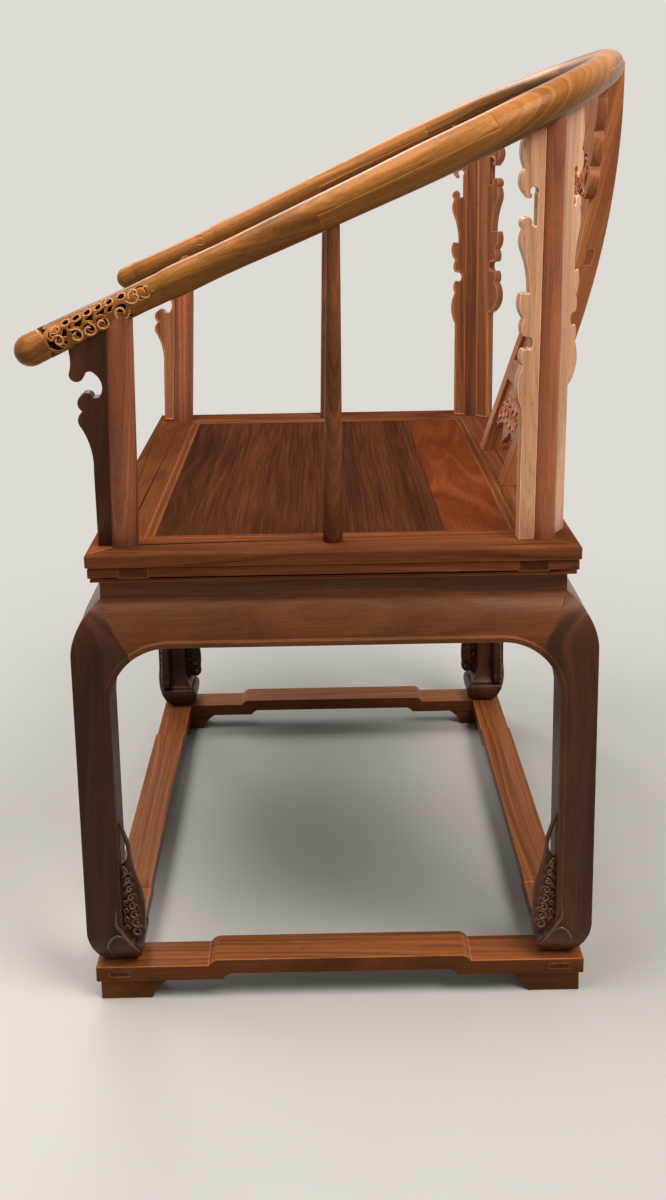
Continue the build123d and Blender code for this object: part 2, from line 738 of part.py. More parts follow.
def left_seat_rail():
    """Left rail, with mortises for the tenons of the front and rear rails."""
    section = mirror(edge_profile(SIDE_RAIL_WIDTH), about=Plane.YZ)
    bar = along_y(Pos(HALF_W, 0) * section, -HALF_D, HALF_D)
    inner = HALF_D - END_RAIL_WIDTH
    plan = outline(
        (HALF_W, -HALF_D),
        ((HALF_W, HALF_D),),
        ((HALF_W - SIDE_RAIL_WIDTH, inner),),
        ((HALF_W - SIDE_RAIL_WIDTH, -inner),),
    )
    rail = bar & along_z(plan, SEAT_LOW, SEAT_TOP)
    y0, y1, z0, z1 = seat_tenon_span()
    mortise = box(HALF_W - SIDE_RAIL_WIDTH - 5, HALF_W + 1, y0, y1, z0, z1)
    return rail - mortise - flip_y(mortise)


def seat_board(y0, y1, tongue_front, tongue_back):
    """One board of the seat panel, tongued into the frame."""
    top = SEAT_TOP - PANEL_SINK
    low = top - PANEL_THICK
    half = HALF_W - SIDE_RAIL_WIDTH - FIT
    board = box(-half, half, y0, y1, low, top)
    front = y0 - TONGUE_REACH if tongue_front else y0
    back = y1 + TONGUE_REACH if tongue_back else y1
    reach = half + TONGUE_REACH
    return board + box(-reach, reach, front, back, low + FIT, low + TONGUE_THICK - FIT)


def seat_brace():
    """The left brace under the seat panel, tenoned into the front and rear rails."""
    top = SEAT_TOP - PANEL_SINK - PANEL_THICK
    reach = HALF_D - END_RAIL_WIDTH
    x0 = BRACE_OFFSET - BRACE_WIDTH / 2
    x1 = BRACE_OFFSET + BRACE_WIDTH / 2
    bar = box(x0, x1, -reach, reach, SEAT_LOW + 1, top)
    tenon = box(
        x0 + 5, x1 - 5, -reach - BRACE_TENON, reach + BRACE_TENON, SEAT_LOW + 4, top - 4
    )
    return bar + tenon


# ---------------------------------------------------------------- base frame
def base_view(half_length):
    """Face-on outline of a base rail, lifted in the middle."""
    step = half_length - HUMP_END
    level = step - HUMP_SLOPE
    under_step = step - 15
    under_level = under_step - HUMP_SLOPE
    high, low = BASE_TOP + HUMP_RISE, BASE_LOW + HUMP_RISE
    ease = 0.8
    return outline(
        (-half_length, BASE_LOW),
        ((-under_step, BASE_LOW),),
        ((-(under_step + under_level) / 2 - ease, (BASE_LOW + low) / 2 + ease), (-under_level, low)),
        ((under_level, low),),
        (((under_step + under_level) / 2 + ease, (BASE_LOW + low) / 2 + ease), (under_step, BASE_LOW)),
        ((half_length, BASE_LOW),),
        ((half_length, BASE_TOP),),
        ((step, BASE_TOP),),
        (((step + level) / 2 + ease, (BASE_TOP + high) / 2 + ease), (level, high)),
        ((-level, high),),
        ((-(step + level) / 2 - ease, (BASE_TOP + high) / 2 + ease), (-step, BASE_TOP)),
        ((-half_length, BASE_TOP),),
    )


def hoof_mortise():
    """Pocket in the base frame for the left front hoof's tenon."""
    middle = (HOOF_HEEL + HOOF_REACH - HOOF_UNDERCUT) / 2
    size = HOOF_TENON + 2 * FIT
    centre = Pos(FACE_X - middle, -FACE_Y + middle, BASE_TOP)
    return centre * Box(size, size, 2 * HOOF_TENON_DEPTH + 2 * FIT)


def base_tenon_span():
    """Y and Z range of the through-tenons on the front base rail's ends."""
    outer = -HALF_D - BASE_OVERHANG + BASE_TENON_SETBACK
    z0 = BASE_LOW + (BASE_THICK - BASE_TENON_THICK) / 2
    return outer, outer + BASE_TENON_WIDTH, z0, z0 + BASE_TENON_THICK


def front_base_rail():
    """Front rail of the base frame, mitred, with a tenon through each side rail."""
    half_x, half_y = HALF_W + BASE_OVERHANG, HALF_D + BASE_OVERHANG
    bar = along_y(base_view(half_x), -half_y, -half_y + BASE_WIDTH)
    rail = bar & along_z(mitre_plan(half_x, half_y, BASE_WIDTH), 0, FAR)
    y0, y1, z0, z1 = base_tenon_span()
    for side in (-1, 1):
        rail += box(side * (half_x - BASE_WIDTH - 4), side * half_x, y0, y1, z0, z1)
    pocket = hoof_mortise()
    return rail - pocket - flip_x(pocket)


def left_base_rail():
    """Left rail of the base frame, with mortises for the front and rear rails."""
    half_x, half_y = HALF_W + BASE_OVERHANG, HALF_D + BASE_OVERHANG
    bar = along_x(base_view(half_y), half_x - BASE_WIDTH, half_x)
    rail = bar & (Rot(0, 0, 90) * along_z(mitre_plan(half_y, half_x, BASE_WIDTH), 0, FAR))
    y0, y1, z0, z1 = base_tenon_span()
    mortise = box(half_x - BASE_WIDTH - 5, half_x + 1, y0, y1, z0, z1)
    pocket = hoof_mortise()
    return rail - mortise - flip_y(mortise) - pocket - flip_y(pocket)


def base_foot():
    """The left front bracket foot: two arms that meet under the corner."""
    hollow = (FOOT_LENGTH - FOOT_TOE) * 0.45
    arm = outline(
        (0, 0),
        ((FOOT_TOE, 0),),
        ((FOOT_TOE + hollow * 0.9, FOOT_HEIGHT * 0.62), (FOOT_LENGTH, FOOT_HEIGHT)),
        ((0, FOOT_HEIGHT),),
    )
    foot = along_y(arm, 0, FOOT_WIDTH) + along_x(arm, 0, FOOT_WIDTH)
    corner_x = HALF_W + BASE_OVERHANG - FOOT_INSET
    corner_y = HALF_D + BASE_OVERHANG - FOOT_INSET
    return Pos(corner_x, -corner_y, 0) * flip_x(foot)


# ---------------------------------------------------------------- arm stiles and spandrels
def arm_stile(extra=0.0):
    """The left slender upright between the side rail and the hand rail, bowed outwards."""
    foot = Vector(HALF_W - STILE_INSET, 0, SEAT_TOP)
    head = rail_point(STILE_TOP_Y)
    middle = (foot + head) * 0.5 + Vector(STILE_BOW, 0, 0)
    path = Spline(foot, middle, head)
    count = 6
    rings = []
    for i in range(count + 1):
        t = i / count
        radius = STILE_BASE_RADIUS + (STILE_TOP_RADIUS - STILE_BASE_RADIUS) * t + extra
        plane = Plane(path @ t, z_dir=path % t)
        if i == 0:
            plane = Plane(foot, z_dir=(0, 0, 1))
        rings.append(plane * Circle(radius))
    return loft(rings)


def front_spandrel_view():
    """Outline of the front spandrel: X out from the post's axis, Y up from the seat."""
    return outline(
        (0, 0),
        ((27, 0),),
        ((28.7, 81),),
        ((30.8, 105), (39.6, 127)),
        ((42.3, 137), (37.3, 144)),
        ((42.5, 153), (37.5, 161)),
        ((32, 163.7), (26.5, 158.5)),
        ((20.8, 159),),
        ((17.6, 169), (24.5, 183)),
        ((31, 185.3), (35.2, 181)),
        ((42.8, 174.5), (49.8, 183)),
        ((48, 197), (49, 205)),
        ((51, 290),),
        ((0, 290),),
    )


def rear_spandrel_view(lift, base, stretch, shift):
    """Outline of a rear spandrel: straight to a base width, then scalloped, stretched and shifted."""
    def at(x, z):
        return (shift + x * stretch, z + lift)

    return outline(
        (0, 0),
        ((base, 0),),
        ((base, 136 + lift),),
        (at(29.8, 157), at(25.5, 181)),
        (at(27.4, 190), at(25, 198)),
        (at(19, 197.5),),
        (at(16.5, 204), at(19, 210.5)),
        (at(25.5, 211),),
        (at(27.3, 219), at(25, 228)),
        (at(29.8, 240), at(28, 254)),
        (at(20.8, 253),),
        (at(22, 272), at(28, 295)),
        (at(29.4, 306), at(27, 316)),
        (at(28.6, 325), at(23.5, 328.5)),
        (at(20.5, 326), at(19.8, 320.5)),
        (at(17.6, 318.3), at(15.5, 321)),
        (at(15.5, 350),),
        (at(17.8, 357), at(21, 350)),
        (at(21.5, 346), at(25, 348)),
        (at(31, 361), at(27, 374)),
        (at(30, 385), at(29, 402)),
        (at(29, 480 - lift),),
        ((0, 480),),
    )


def spandrel(front, view, turn):
    """A scalloped board beside a left post, turned about the post from straight forwards."""
    foot, head = post_ends(front)
    axis = (Vector(*head) - Vector(*foot)).normalized()
    start = Vector(*foot) + axis * ((SEAT_TOP - SEAT_LOW) / axis.Z)
    angle = math.radians(turn)
    outward = Vector(math.sin(angle), -math.cos(angle), 0)
    across = outward - axis * outward.dot(axis)
    plane = Plane(start, x_dir=across.normalized(), z_dir=across.cross(axis).normalized())
    board = plane * extrude(view, amount=SPANDREL_THICK / 2, both=True)
    return board & box(-FAR, FAR, -FAR, FAR, SEAT_TOP, FAR * 2)


# ---------------------------------------------------------------- splat
def splat_front(z):
    """Y of the splat's front face at a height."""
    lean = math.radians(SPLAT_LEAN)
    if z <= SPLAT_BEND:
        return SPLAT_FOOT_Y + (z - SEAT_TOP) * math.tan(lean)
    rise = SPLAT_TOP - z
    at_bend = SPLAT_FOOT_Y + (SPLAT_BEND - SEAT_TOP) * math.tan(lean)
    return at_bend + SPLAT_RADIUS * (math.sqrt(max(0.0, 1 - (rise / SPLAT_RADIUS) ** 2)) - math.cos(lean))


def splat_slab(x0, x1, z0, z1, setback, thick):
    """A curved slab of the splat between two heights, set back from the front face."""
    def at(z, depth):
        return (splat_front(z) + depth, z)

    scale = 1 / math.cos(math.radians(SPLAT_LEAN))
    near, far = setback * scale, (setback + thick) * scale
    if z1 <= SPLAT_BEND:
        face = outline(at(z0, near), (at(z1, near),), (at(z1, far),), (at(z0, far),))
        return along_x(face, x0, x1)
    low = max(z0, SPLAT_BEND)
    middle = (low + z1) / 2
    steps = [] if z0 >= SPLAT_BEND else [(at(low, near),)]
    steps += [(at(middle, near), at(z1, near)), (at(z1, far),), (at(middle, far), at(low, far))]
    if z0 < SPLAT_BEND:
        steps.append((at(z0, far),))
    return along_x(outline(at(z0, near), *steps), x0, x1)


def splat_rail(low):
    """A cross rail of the splat, tenoned through both stiles."""
    z0 = SEAT_TOP + low
    rail = splat_slab(-SPLAT_INNER, SPLAT_INNER, z0, z0 + SPLAT_RAIL_HEIGHT, 0, SPLAT_THICK)
    gap = (SPLAT_RAIL_HEIGHT - SPLAT_TENON_HEIGHT) / 2
    depth = (SPLAT_THICK - SPLAT_TENON_THICK) / 2
    half = SPLAT_WIDTH / 2
    return rail + splat_slab(-half, half, z0 + gap, z0 + gap + SPLAT_TENON_HEIGHT, depth, SPLAT_TENON_THICK)


def splat_panel(z0, z1):
    """A panel between two cross rails and the stiles."""
    return splat_slab(-SPLAT_INNER, SPLAT_INNER, z0, z1, SPLAT_PANEL_SETBACK, SPLAT_PANEL_THICK)


def mirrored(face):
    """A face drawn right of the middle line, with its mirror image."""
    return face + mirror(face, about=Plane.YZ)


def four_ways(x, y):
    """A place with its mirror images left, right, above and below, each once."""
    return sorted({(i * x, j * y) for i in (-1, 1) for j in (-1, 1)})


def medallion():
    """The holes of the cartouche in the top panel: its lobes less the scrolls that stand in them."""
    lobes = Ellipse(44, 26)
    scrolls = annulus((0, 0), 13, 10) + annulus((0, 0), 6, 3) + Rectangle(22, 2) - Circle(3)
    for x, y, radius in MEDALLION_SCROLLS:
        for place in four_ways(x, y):
            lobes += Pos(*place) * Circle(radius + MEDALLION_GAP)
            angle = math.degrees(math.atan2(place[1], place[0]))
            spoke = Pos(math.hypot(x, y) + radius + 1.5, 0) * Rectangle(8, STRAND)
            scrolls += volute(place, radius, 2.6) + Rot(0, 0, angle) * spoke
    for place in four_ways(22, 0):
        scrolls += annulus(place, 6.2, 3.4)
    return Pos(0, SEAT_TOP + MEDALLION_HEIGHT) * (lobes - scrolls)


def apron_arch():
    """The scrolled arch cut out of the splat's bottom board, with a point hanging in its middle."""
    half, z = SPLAT_INNER, SEAT_TOP
    return outline(
        (-half - 1, z - 1),
        ((-half - 1, z + 31),),
        ((-half + 6, z + 38), (-half + 14, z + 33)),
        ((-half + 22, z + 41), (-37, z + 44)),
        ((-25, z + 46), (-17, z + 39)),
        ((-10, z + 36), (0, z + 27)),
        ((10, z + 36), (17, z + 39)),
        ((25, z + 46), (37, z + 44)),
        ((half - 22, z + 41), (half - 14, z + 33)),
        ((half - 6, z + 38), (half + 1, z + 31)),
        ((half + 1, z - 1),),
    )


def splat_apron(z1):
    """Bottom board of the splat: scrolled arch below, raised scrolls on its face."""
    board = splat_slab(-SPLAT_INNER, SPLAT_INNER, SEAT_TOP, z1, SPLAT_PANEL_SETBACK, SPLAT_PANEL_THICK)
    skin = splat_slab(
        -SPLAT_INNER, SPLAT_INNER, SEAT_TOP, z1, SPLAT_PANEL_SETBACK - RELIEF_PROUD, RELIEF_PROUD + 1
    )
    scrolls = mirrored(
        volute((12, 62), 13, 3.4) + volute((36, 64), 13, 3.4) + volute((56, 57), 11, 2.4)
        + Pos(26, 82) * Rectangle(40, STRAND)
    )
    relief = skin & along_y(Pos(0, SEAT_TOP) * scrolls, 0, FAR)
    return board + relief - along_y(apron_arch(), 0, FAR)


def splat_bracket():
    """Scalloped bracket on the left of the splat, under the hand rail."""
    top = RAIL_BACK_Z
    z0 = RAIL_BACK_Z - BRACKET_HEIGHT
    edge = SPLAT_WIDTH / 2
    reach = BRACKET_REACH
    span = top - z0
    view = outline(
        (edge, z0),
        ((edge + 9, z0 + 6), (edge + 6, z0 + span * 0.24)),
        ((edge + 13, z0 + span * 0.36), (edge + 8, z0 + span * 0.5)),
        ((edge + 17, z0 + span * 0.64), (edge + 12, z0 + span * 0.78)),
        ((edge + reach, z0 + span * 0.86), (edge + reach + 4, top)),
        ((edge, top),),
    )
    slab = splat_slab(edge, edge + reach + 10, z0 - 5, top, -BRACKET_PROUD, BRACKET_THICK)
    return slab & along_y(view, 0, FAR)


# ---------------------------------------------------------------- assembly
def build():
    """Every node by name."""
    rail_clear = rail_solid(extra=FIT)
    nodes = {}

    # aprons and legs
    front_apron_bar, left_apron_bar = front_apron(), left_apron()
    nodes["apron_front"] = front_apron_bar
    nodes["apron_rear"] = flip_y(front_apron_bar)
    nodes["apron_left"] = left_apron_bar
    nodes["apron_right"] = flip_x(left_apron_bar)
    for front in (True, False):
        name = "front" if front else "rear"
        if front:
            corner = leg_corner(FRONT_POST_SIDE_INSET, FRONT_POST_FRONT_INSET, FRONT_POST_RADIUS)
        else:
            corner = leg_corner(REAR_POST_SIDE_INSET, REAR_POST_BACK_INSET, REAR_POST_RADIUS)
        stock = box(FACE_X - HEAD_SIZE, FAR, -FAR, -FACE_Y + HEAD_SIZE, 0, LEG_TOP)
        leg = Pos(FACE_X, -FACE_Y, 0) * flip_x(corner) + (front_bead() & stock) + (left_bead() & stock)
        leg = leg - front_apron_bar - left_apron_bar
        if not front:
            leg = flip_y(leg)
        leg = leg + (post(front) - rail_clear) + post_tenon(front)
        nodes[f"{name}_leg_left"] = leg
        nodes[f"{name}_leg_right"] = flip_x(leg)

    # hand rail
    centre, shoulder, arm = rail_pieces()
    arm_pin, back_pin = scarf_pins()
    centre = centre - back_pin - flip_x(back_pin)
    shoulder = shoulder - back_pin - arm_pin - post_tenon(False, FIT)
    arm = arm - arm_pin + carve_arm(rail_front() - post_tenon(True, FIT))
    nodes["crest_centre"] = centre
    nodes["crest_shoulder_left"] = shoulder
    nodes["crest_shoulder_right"] = flip_x(shoulder)
    nodes["crest_arm_left"] = arm
    nodes["crest_arm_right"] = flip_x(arm)
    nodes["crest_scarf_pins"] = Compound([arm_pin, back_pin, flip_x(arm_pin), flip_x(back_pin)])

    # seat frame
    drill = [post(True, FIT), post(False, FIT)]
    brace = seat_brace()
    front_rail = front_seat_rail() - drill[0] - flip_x(drill[0]) - brace - flip_x(brace)
    rear_rail = flip_y(front_seat_rail()) - drill[1] - flip_x(drill[1]) - brace - flip_x(brace)
    left_rail = left_seat_rail() - drill[0] - drill[1]
    nodes["seat_rail_front"] = front_rail
    nodes["seat_rail_rear"] = rear_rail
    nodes["seat_rail_left"] = left_rail
    nodes["seat_rail_right"] = flip_x(left_rail)
    inner = HALF_D - END_RAIL_WIDTH - FIT
    nodes["seat_board_front"] = seat_board(-inner, BOARD_JOINT_Y, True, False)
    nodes["seat_board_rear"] = seat_board(BOARD_JOINT_Y + FIT, inner, False, True)
    nodes["seat_brace_left"] = brace
    nodes["seat_brace_right"] = flip_x(brace)

    # waist
    half_x, half_y = HALF_W - WAIST_INSET, HALF_D - WAIST_INSET
    strip = waist_strip(half_x, half_y)
    nodes["waist_front"] = strip
    nodes["waist_rear"] = flip_y(strip)
    side_strip = Rot(0, 0, 90) * waist_strip(half_y, half_x)
    nodes["waist_left"] = side_strip
    nodes["waist_right"] = flip_x(side_strip)

    # base frame
    nodes["base_rail_front"] = front_base_rail()
    nodes["base_rail_rear"] = flip_y(front_base_rail())
    nodes["base_rail_left"] = left_base_rail()
    nodes["base_rail_right"] = flip_x(left_base_rail())
    foot = base_foot()
    nodes["base_foot_front_left"] = foot
    nodes["base_foot_front_right"] = flip_x(foot)
    nodes["base_foot_rear_left"] = flip_y(foot)
    nodes["base_foot_rear_right"] = flip_x(flip_y(foot))

    # arm stiles and spandrels
    stile = arm_stile() - rail_clear
    nodes["arm_stile_left"] = stile
    nodes["arm_stile_right"] = flip_x(stile)
    outer_view = rear_spandrel_view(0, REAR_SPANDREL_BASE, REAR_SPANDREL_STRETCH, 0)
    inner_view = rear_spandrel_view(
        INNER_SPANDREL_LIFT, INNER_SPANDREL_BASE, INNER_SPANDREL_STRETCH, INNER_SPANDREL_SHIFT
    )
    boards = {
        "front_spandrel": spandrel(True, front_spandrel_view(), 0),
        "rear_spandrel": spandrel(False, outer_view, REAR_SPANDREL_TURN),
        "inner_spandrel": spandrel(False, inner_view, INNER_SPANDREL_TURN),
    }
    for name, board in boards.items():
        cutter = post(name == "front_spandrel", FIT)
        board = largest(board - rail_clear - cutter)
        nodes[f"{name}_left"] = board
        nodes[f"{name}_right"] = flip_x(board)

    # splat
    low_rail, mid_rail = splat_rail(SPLAT_LOW_RAIL), splat_rail(SPLAT_MID_RAIL)
    stile = splat_slab(SPLAT_INNER, SPLAT_WIDTH / 2, SEAT_TOP, RAIL_BACK_Z, 0, SPLAT_THICK)
    quirk_x = SPLAT_INNER + SPLAT_QUIRK_INSET
    quirk = splat_slab(quirk_x, quirk_x + SPLAT_QUIRK, SEAT_TOP - 1, RAIL_BACK_Z, -1, 1 + SPLAT_QUIRK)
    stile = largest(stile - quirk - rail_clear - low_rail - mid_rail)
    nodes["splat_stile_left"] = stile
    nodes["splat_stile_right"] = flip_x(stile)
    nodes["splat_rail_lower"] = low_rail
    nodes["splat_rail_middle"] = mid_rail
    top_panel = splat_panel(SEAT_TOP + SPLAT_MID_RAIL + SPLAT_RAIL_HEIGHT, RAIL_BACK_Z)
    top_panel = largest(top_panel - rail_clear)
    nodes["splat_panel_top"] = top_panel - along_y(medallion(), 0, FAR)
    nodes["splat_panel_middle"] = splat_panel(
        SEAT_TOP + SPLAT_LOW_RAIL + SPLAT_RAIL_HEIGHT, SEAT_TOP + SPLAT_MID_RAIL
    )
    nodes["splat_apron"] = splat_apron(SEAT_TOP + SPLAT_LOW_RAIL)
    bracket = largest(splat_bracket() - rail_clear)
    nodes["splat_bracket_left"] = bracket
    nodes["splat_bracket_right"] = flip_x(bracket)
    return nodes


def largest(part):
    """The biggest solid of a cut piece, without the offcuts."""
    return max(part.solids(), key=lambda solid: solid.volume)


def main():
    nodes = build()
    back = RAIL_BACK_Y + RAIL_RADIUS_AT_BACK
    front = RAIL_FRONT_Y - HAND_RADIUS
    centre = Pos(0, -(back + front) / 2, 0)
    for name, part in nodes.items():
        export_step(centre * part, f"parts/{name}.step")


main()
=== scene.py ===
"""Horseshoe-back armchair in waxed rosewood: packed timbers eased, carved and waxed for show."""

import json
import logging
import math
from collections.abc import Callable
from dataclasses import dataclass, field
from enum import Enum
from functools import partial

import bpy
from mathutils import Matrix, Vector

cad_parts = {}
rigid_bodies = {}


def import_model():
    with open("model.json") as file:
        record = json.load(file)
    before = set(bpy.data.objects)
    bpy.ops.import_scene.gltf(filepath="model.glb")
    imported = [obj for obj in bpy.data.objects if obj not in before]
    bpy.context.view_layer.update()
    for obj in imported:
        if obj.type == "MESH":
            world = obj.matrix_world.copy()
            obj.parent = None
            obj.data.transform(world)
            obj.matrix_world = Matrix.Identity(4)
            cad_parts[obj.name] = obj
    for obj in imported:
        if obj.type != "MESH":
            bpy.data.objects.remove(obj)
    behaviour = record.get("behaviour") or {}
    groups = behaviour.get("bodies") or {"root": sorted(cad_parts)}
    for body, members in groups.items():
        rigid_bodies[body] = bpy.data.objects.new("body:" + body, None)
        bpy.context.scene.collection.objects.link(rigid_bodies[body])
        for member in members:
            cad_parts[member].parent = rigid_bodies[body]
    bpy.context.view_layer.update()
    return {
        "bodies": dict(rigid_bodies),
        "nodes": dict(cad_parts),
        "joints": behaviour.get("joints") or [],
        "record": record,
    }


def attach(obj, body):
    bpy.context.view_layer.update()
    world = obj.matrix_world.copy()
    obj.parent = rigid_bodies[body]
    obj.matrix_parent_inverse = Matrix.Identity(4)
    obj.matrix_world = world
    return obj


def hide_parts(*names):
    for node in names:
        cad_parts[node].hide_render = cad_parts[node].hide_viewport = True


log = logging.getLogger("armchair")

Tree = bpy.types.NodeTree
Socket = bpy.types.NodeSocket
Piece = bpy.types.Object
Triple = tuple[float, float, float]

FRAME_WIDTH, FRAME_HEIGHT = 666, 1200
METRE = 1000.0  # in millimetres, the unit of the carvings
SEAT_SHIFT = -0.0143  # the seat's middle lies this far in front of the chair's middle
RAIL_SLOPE = math.atan(0.451)
RAIL_BACK_Y, RAIL_BACK_Z = 0.3188, 0.9805  # the rail's centre line at the back of the chair
SIDES = ("left", "right")
ENDS = ("front", "rear")
OUT = {"left": 1.0, "right": -1.0}  # which way along X is outwards

# Sockets of a Mix node, and settings that many nodes share.
FACTOR, FIRST_VALUE, SECOND_VALUE, FIRST_COLOUR, SECOND_COLOUR = 0, 2, 3, 6, 7
MIXED_VALUE, MIXED_COLOUR = 0, 2
COLOURS = {"data_type": "RGBA"}
TIMES = {"data_type": "RGBA", "blend_type": "MULTIPLY", FACTOR: 1.0}
SMOOTH = {"interpolation_type": "SMOOTHSTEP"}
PLANE = {"noise_dimensions": "2D"}

# How rosewood looks, the same in every log. A noise texture runs mostly from 0.3 to 0.7.
NOISE_RANGE = {"From Min": 0.3, "From Max": 0.7}
NOISE_SWING = 0.25  # the furthest that a noise texture swings from its middle
WANDER_SCALE = (11.0, 11.0, 2.4)  # waves per metre across and along the fibre
RUN_SHARE = 0.012  # how fast the figure changes along the fibre, as a share of across
ZONES_PER_METRE = 38.0  # broad zones of tone, about 26 mm each
ZONE_WEIGHT = 0.42
TONE_STOPS = (0.33, 0.5, 0.67)  # of the dark, the middle and the light tone
VEIN_PITCH = 2.2  # distance between veins, in rings
VEIN_START = (3.7, 1.9, 0.0)  # keeps the veins apart from the bands
VEIN_RANGE = {"From Min": 0.57, "From Max": 0.69}
STREAK = 0.16  # fibres lighten and darken the wood by this share
FIBRE_SCALE = (820, 820, 8)  # streaks 1 mm across, coarser than real fibres, so that they show
PORE_SCALE = (1500, 1500, 90)  # pores 0.6 mm wide and 11 mm long, coarser too
PORE_RANGE = {"From Min": 0.60, "From Max": 0.72, "To Max": 0.5}
END_GRAIN = {"From Min": 0.80, "From Max": 0.97, "To Max": 0.62}  # open fibre ends go dark
SEAT_RANGE = {"From Min": 0.40, "From Max": 0.56}  # heights between which a leg becomes a post
# Painted shade on faces that look sideways or down fades out over these heights of the normal.
UPWARD_RANGE = {"From Min": -0.2, "From Max": 0.7}  # from facing a little down to well up
ROUGHER, SMOOTHER = 0.07, 0.05  # between and along the fibres
PORE_BUMP = {"Strength": 0.22, "Distance": 0.0002}
WAX_TINT = "#ffd9b0"
WAX_FILM = {"IOR": 1.5, "Coat Roughness": 0.22}


class Grain(Enum):
    """Direction in which a timber's fibres run, as the turn that lays them along Z."""

    UPRIGHT = (0.0, 0.0, 0.0)
    ACROSS = (0.0, -math.pi / 2, 0.0)
    DEEP = (math.pi / 2, 0.0, 0.0)
    ARM = (math.pi / 2 - RAIL_SLOPE, 0.0, 0.0)
    SHOULDER_LEFT = (math.pi / 2 - RAIL_SLOPE, 0.0, math.radians(-28))
    SHOULDER_RIGHT = (math.pi / 2 - RAIL_SLOPE, 0.0, math.radians(28))
    SPLAT = (math.radians(16), 0.0, 0.0)


class Wax(Enum):
    """How a surface has been handled, as its gain in tone and loss in roughness. The lighter edges are
    partly wear and partly a painted highlight.
    """

    BODY = (1.0, 0.0)
    # Edges lighter partly from wear, partly as a painted highlight.
    RUBBED_EDGE = (1.7, 0.10)


def linear(hex_colour: str) -> tuple[float, float, float, float]:
    """Turn an sRGB hex colour, with its leading hash, into linear RGBA."""
    parts = [int(hex_colour[i : i + 2], 16) / 255 for i in (1, 3, 5)]
    return tuple(c / 12.92 if c <= 0.04045 else ((c + 0.055) / 1.055) ** 2.4 for c in parts) + (1.0,)


def add_node(
    tree: Tree, kind: str, settings: dict | None = None, links: dict[str | int, Socket] | None = None
) -> bpy.types.Node:
    """Add a shader node with its settings, socket values and incoming links.

    Args:
        tree: node tree.
        kind: node type name without the ShaderNode prefix.
        settings: attribute values, or socket values where the key is a socket name or index.
        links: output sockets to connect, by input socket name or index.

    Returns:
        The new node.
    """
    node = tree.nodes.new("ShaderNode" + kind)
    for key, value in (settings or {}).items():
        if isinstance(key, str) and hasattr(node, key):
            setattr(node, key, value)
        else:
            node.inputs[key].default_value = value
    for key, socket in (links or {}).items():
        tree.links.new(socket, node.inputs[key])
    return node


def empty_tree(owner: bpy.types.Material | bpy.types.World) -> Tree:
    """Switch a material or a sky over to nodes, with none in place.

    Args:
        owner: the material or sky.

    Returns:
        Its empty node tree.
    """
    owner.use_nodes = True
    owner.node_tree.nodes.clear()
    return owner.node_tree


def backdrop_rays(tree: Tree) -> Socket:
    """Pick out the rays that show the backdrop: from the camera, mirrored or seen through glass.

    Args:
        tree: node tree.

    Returns:
        One for such rays and zero for those that light the chair.
    """
    path = add_node(tree, "LightPath")
    shown = path.outputs["Is Camera Ray"]
    for kind in ("Is Glossy Ray", "Is Transmission Ray"):
        either = add_node(tree, "Math", {"operation": "MAXIMUM"}, {0: shown, 1: path.outputs[kind]})
        shown = either.outputs[0]
    return shown


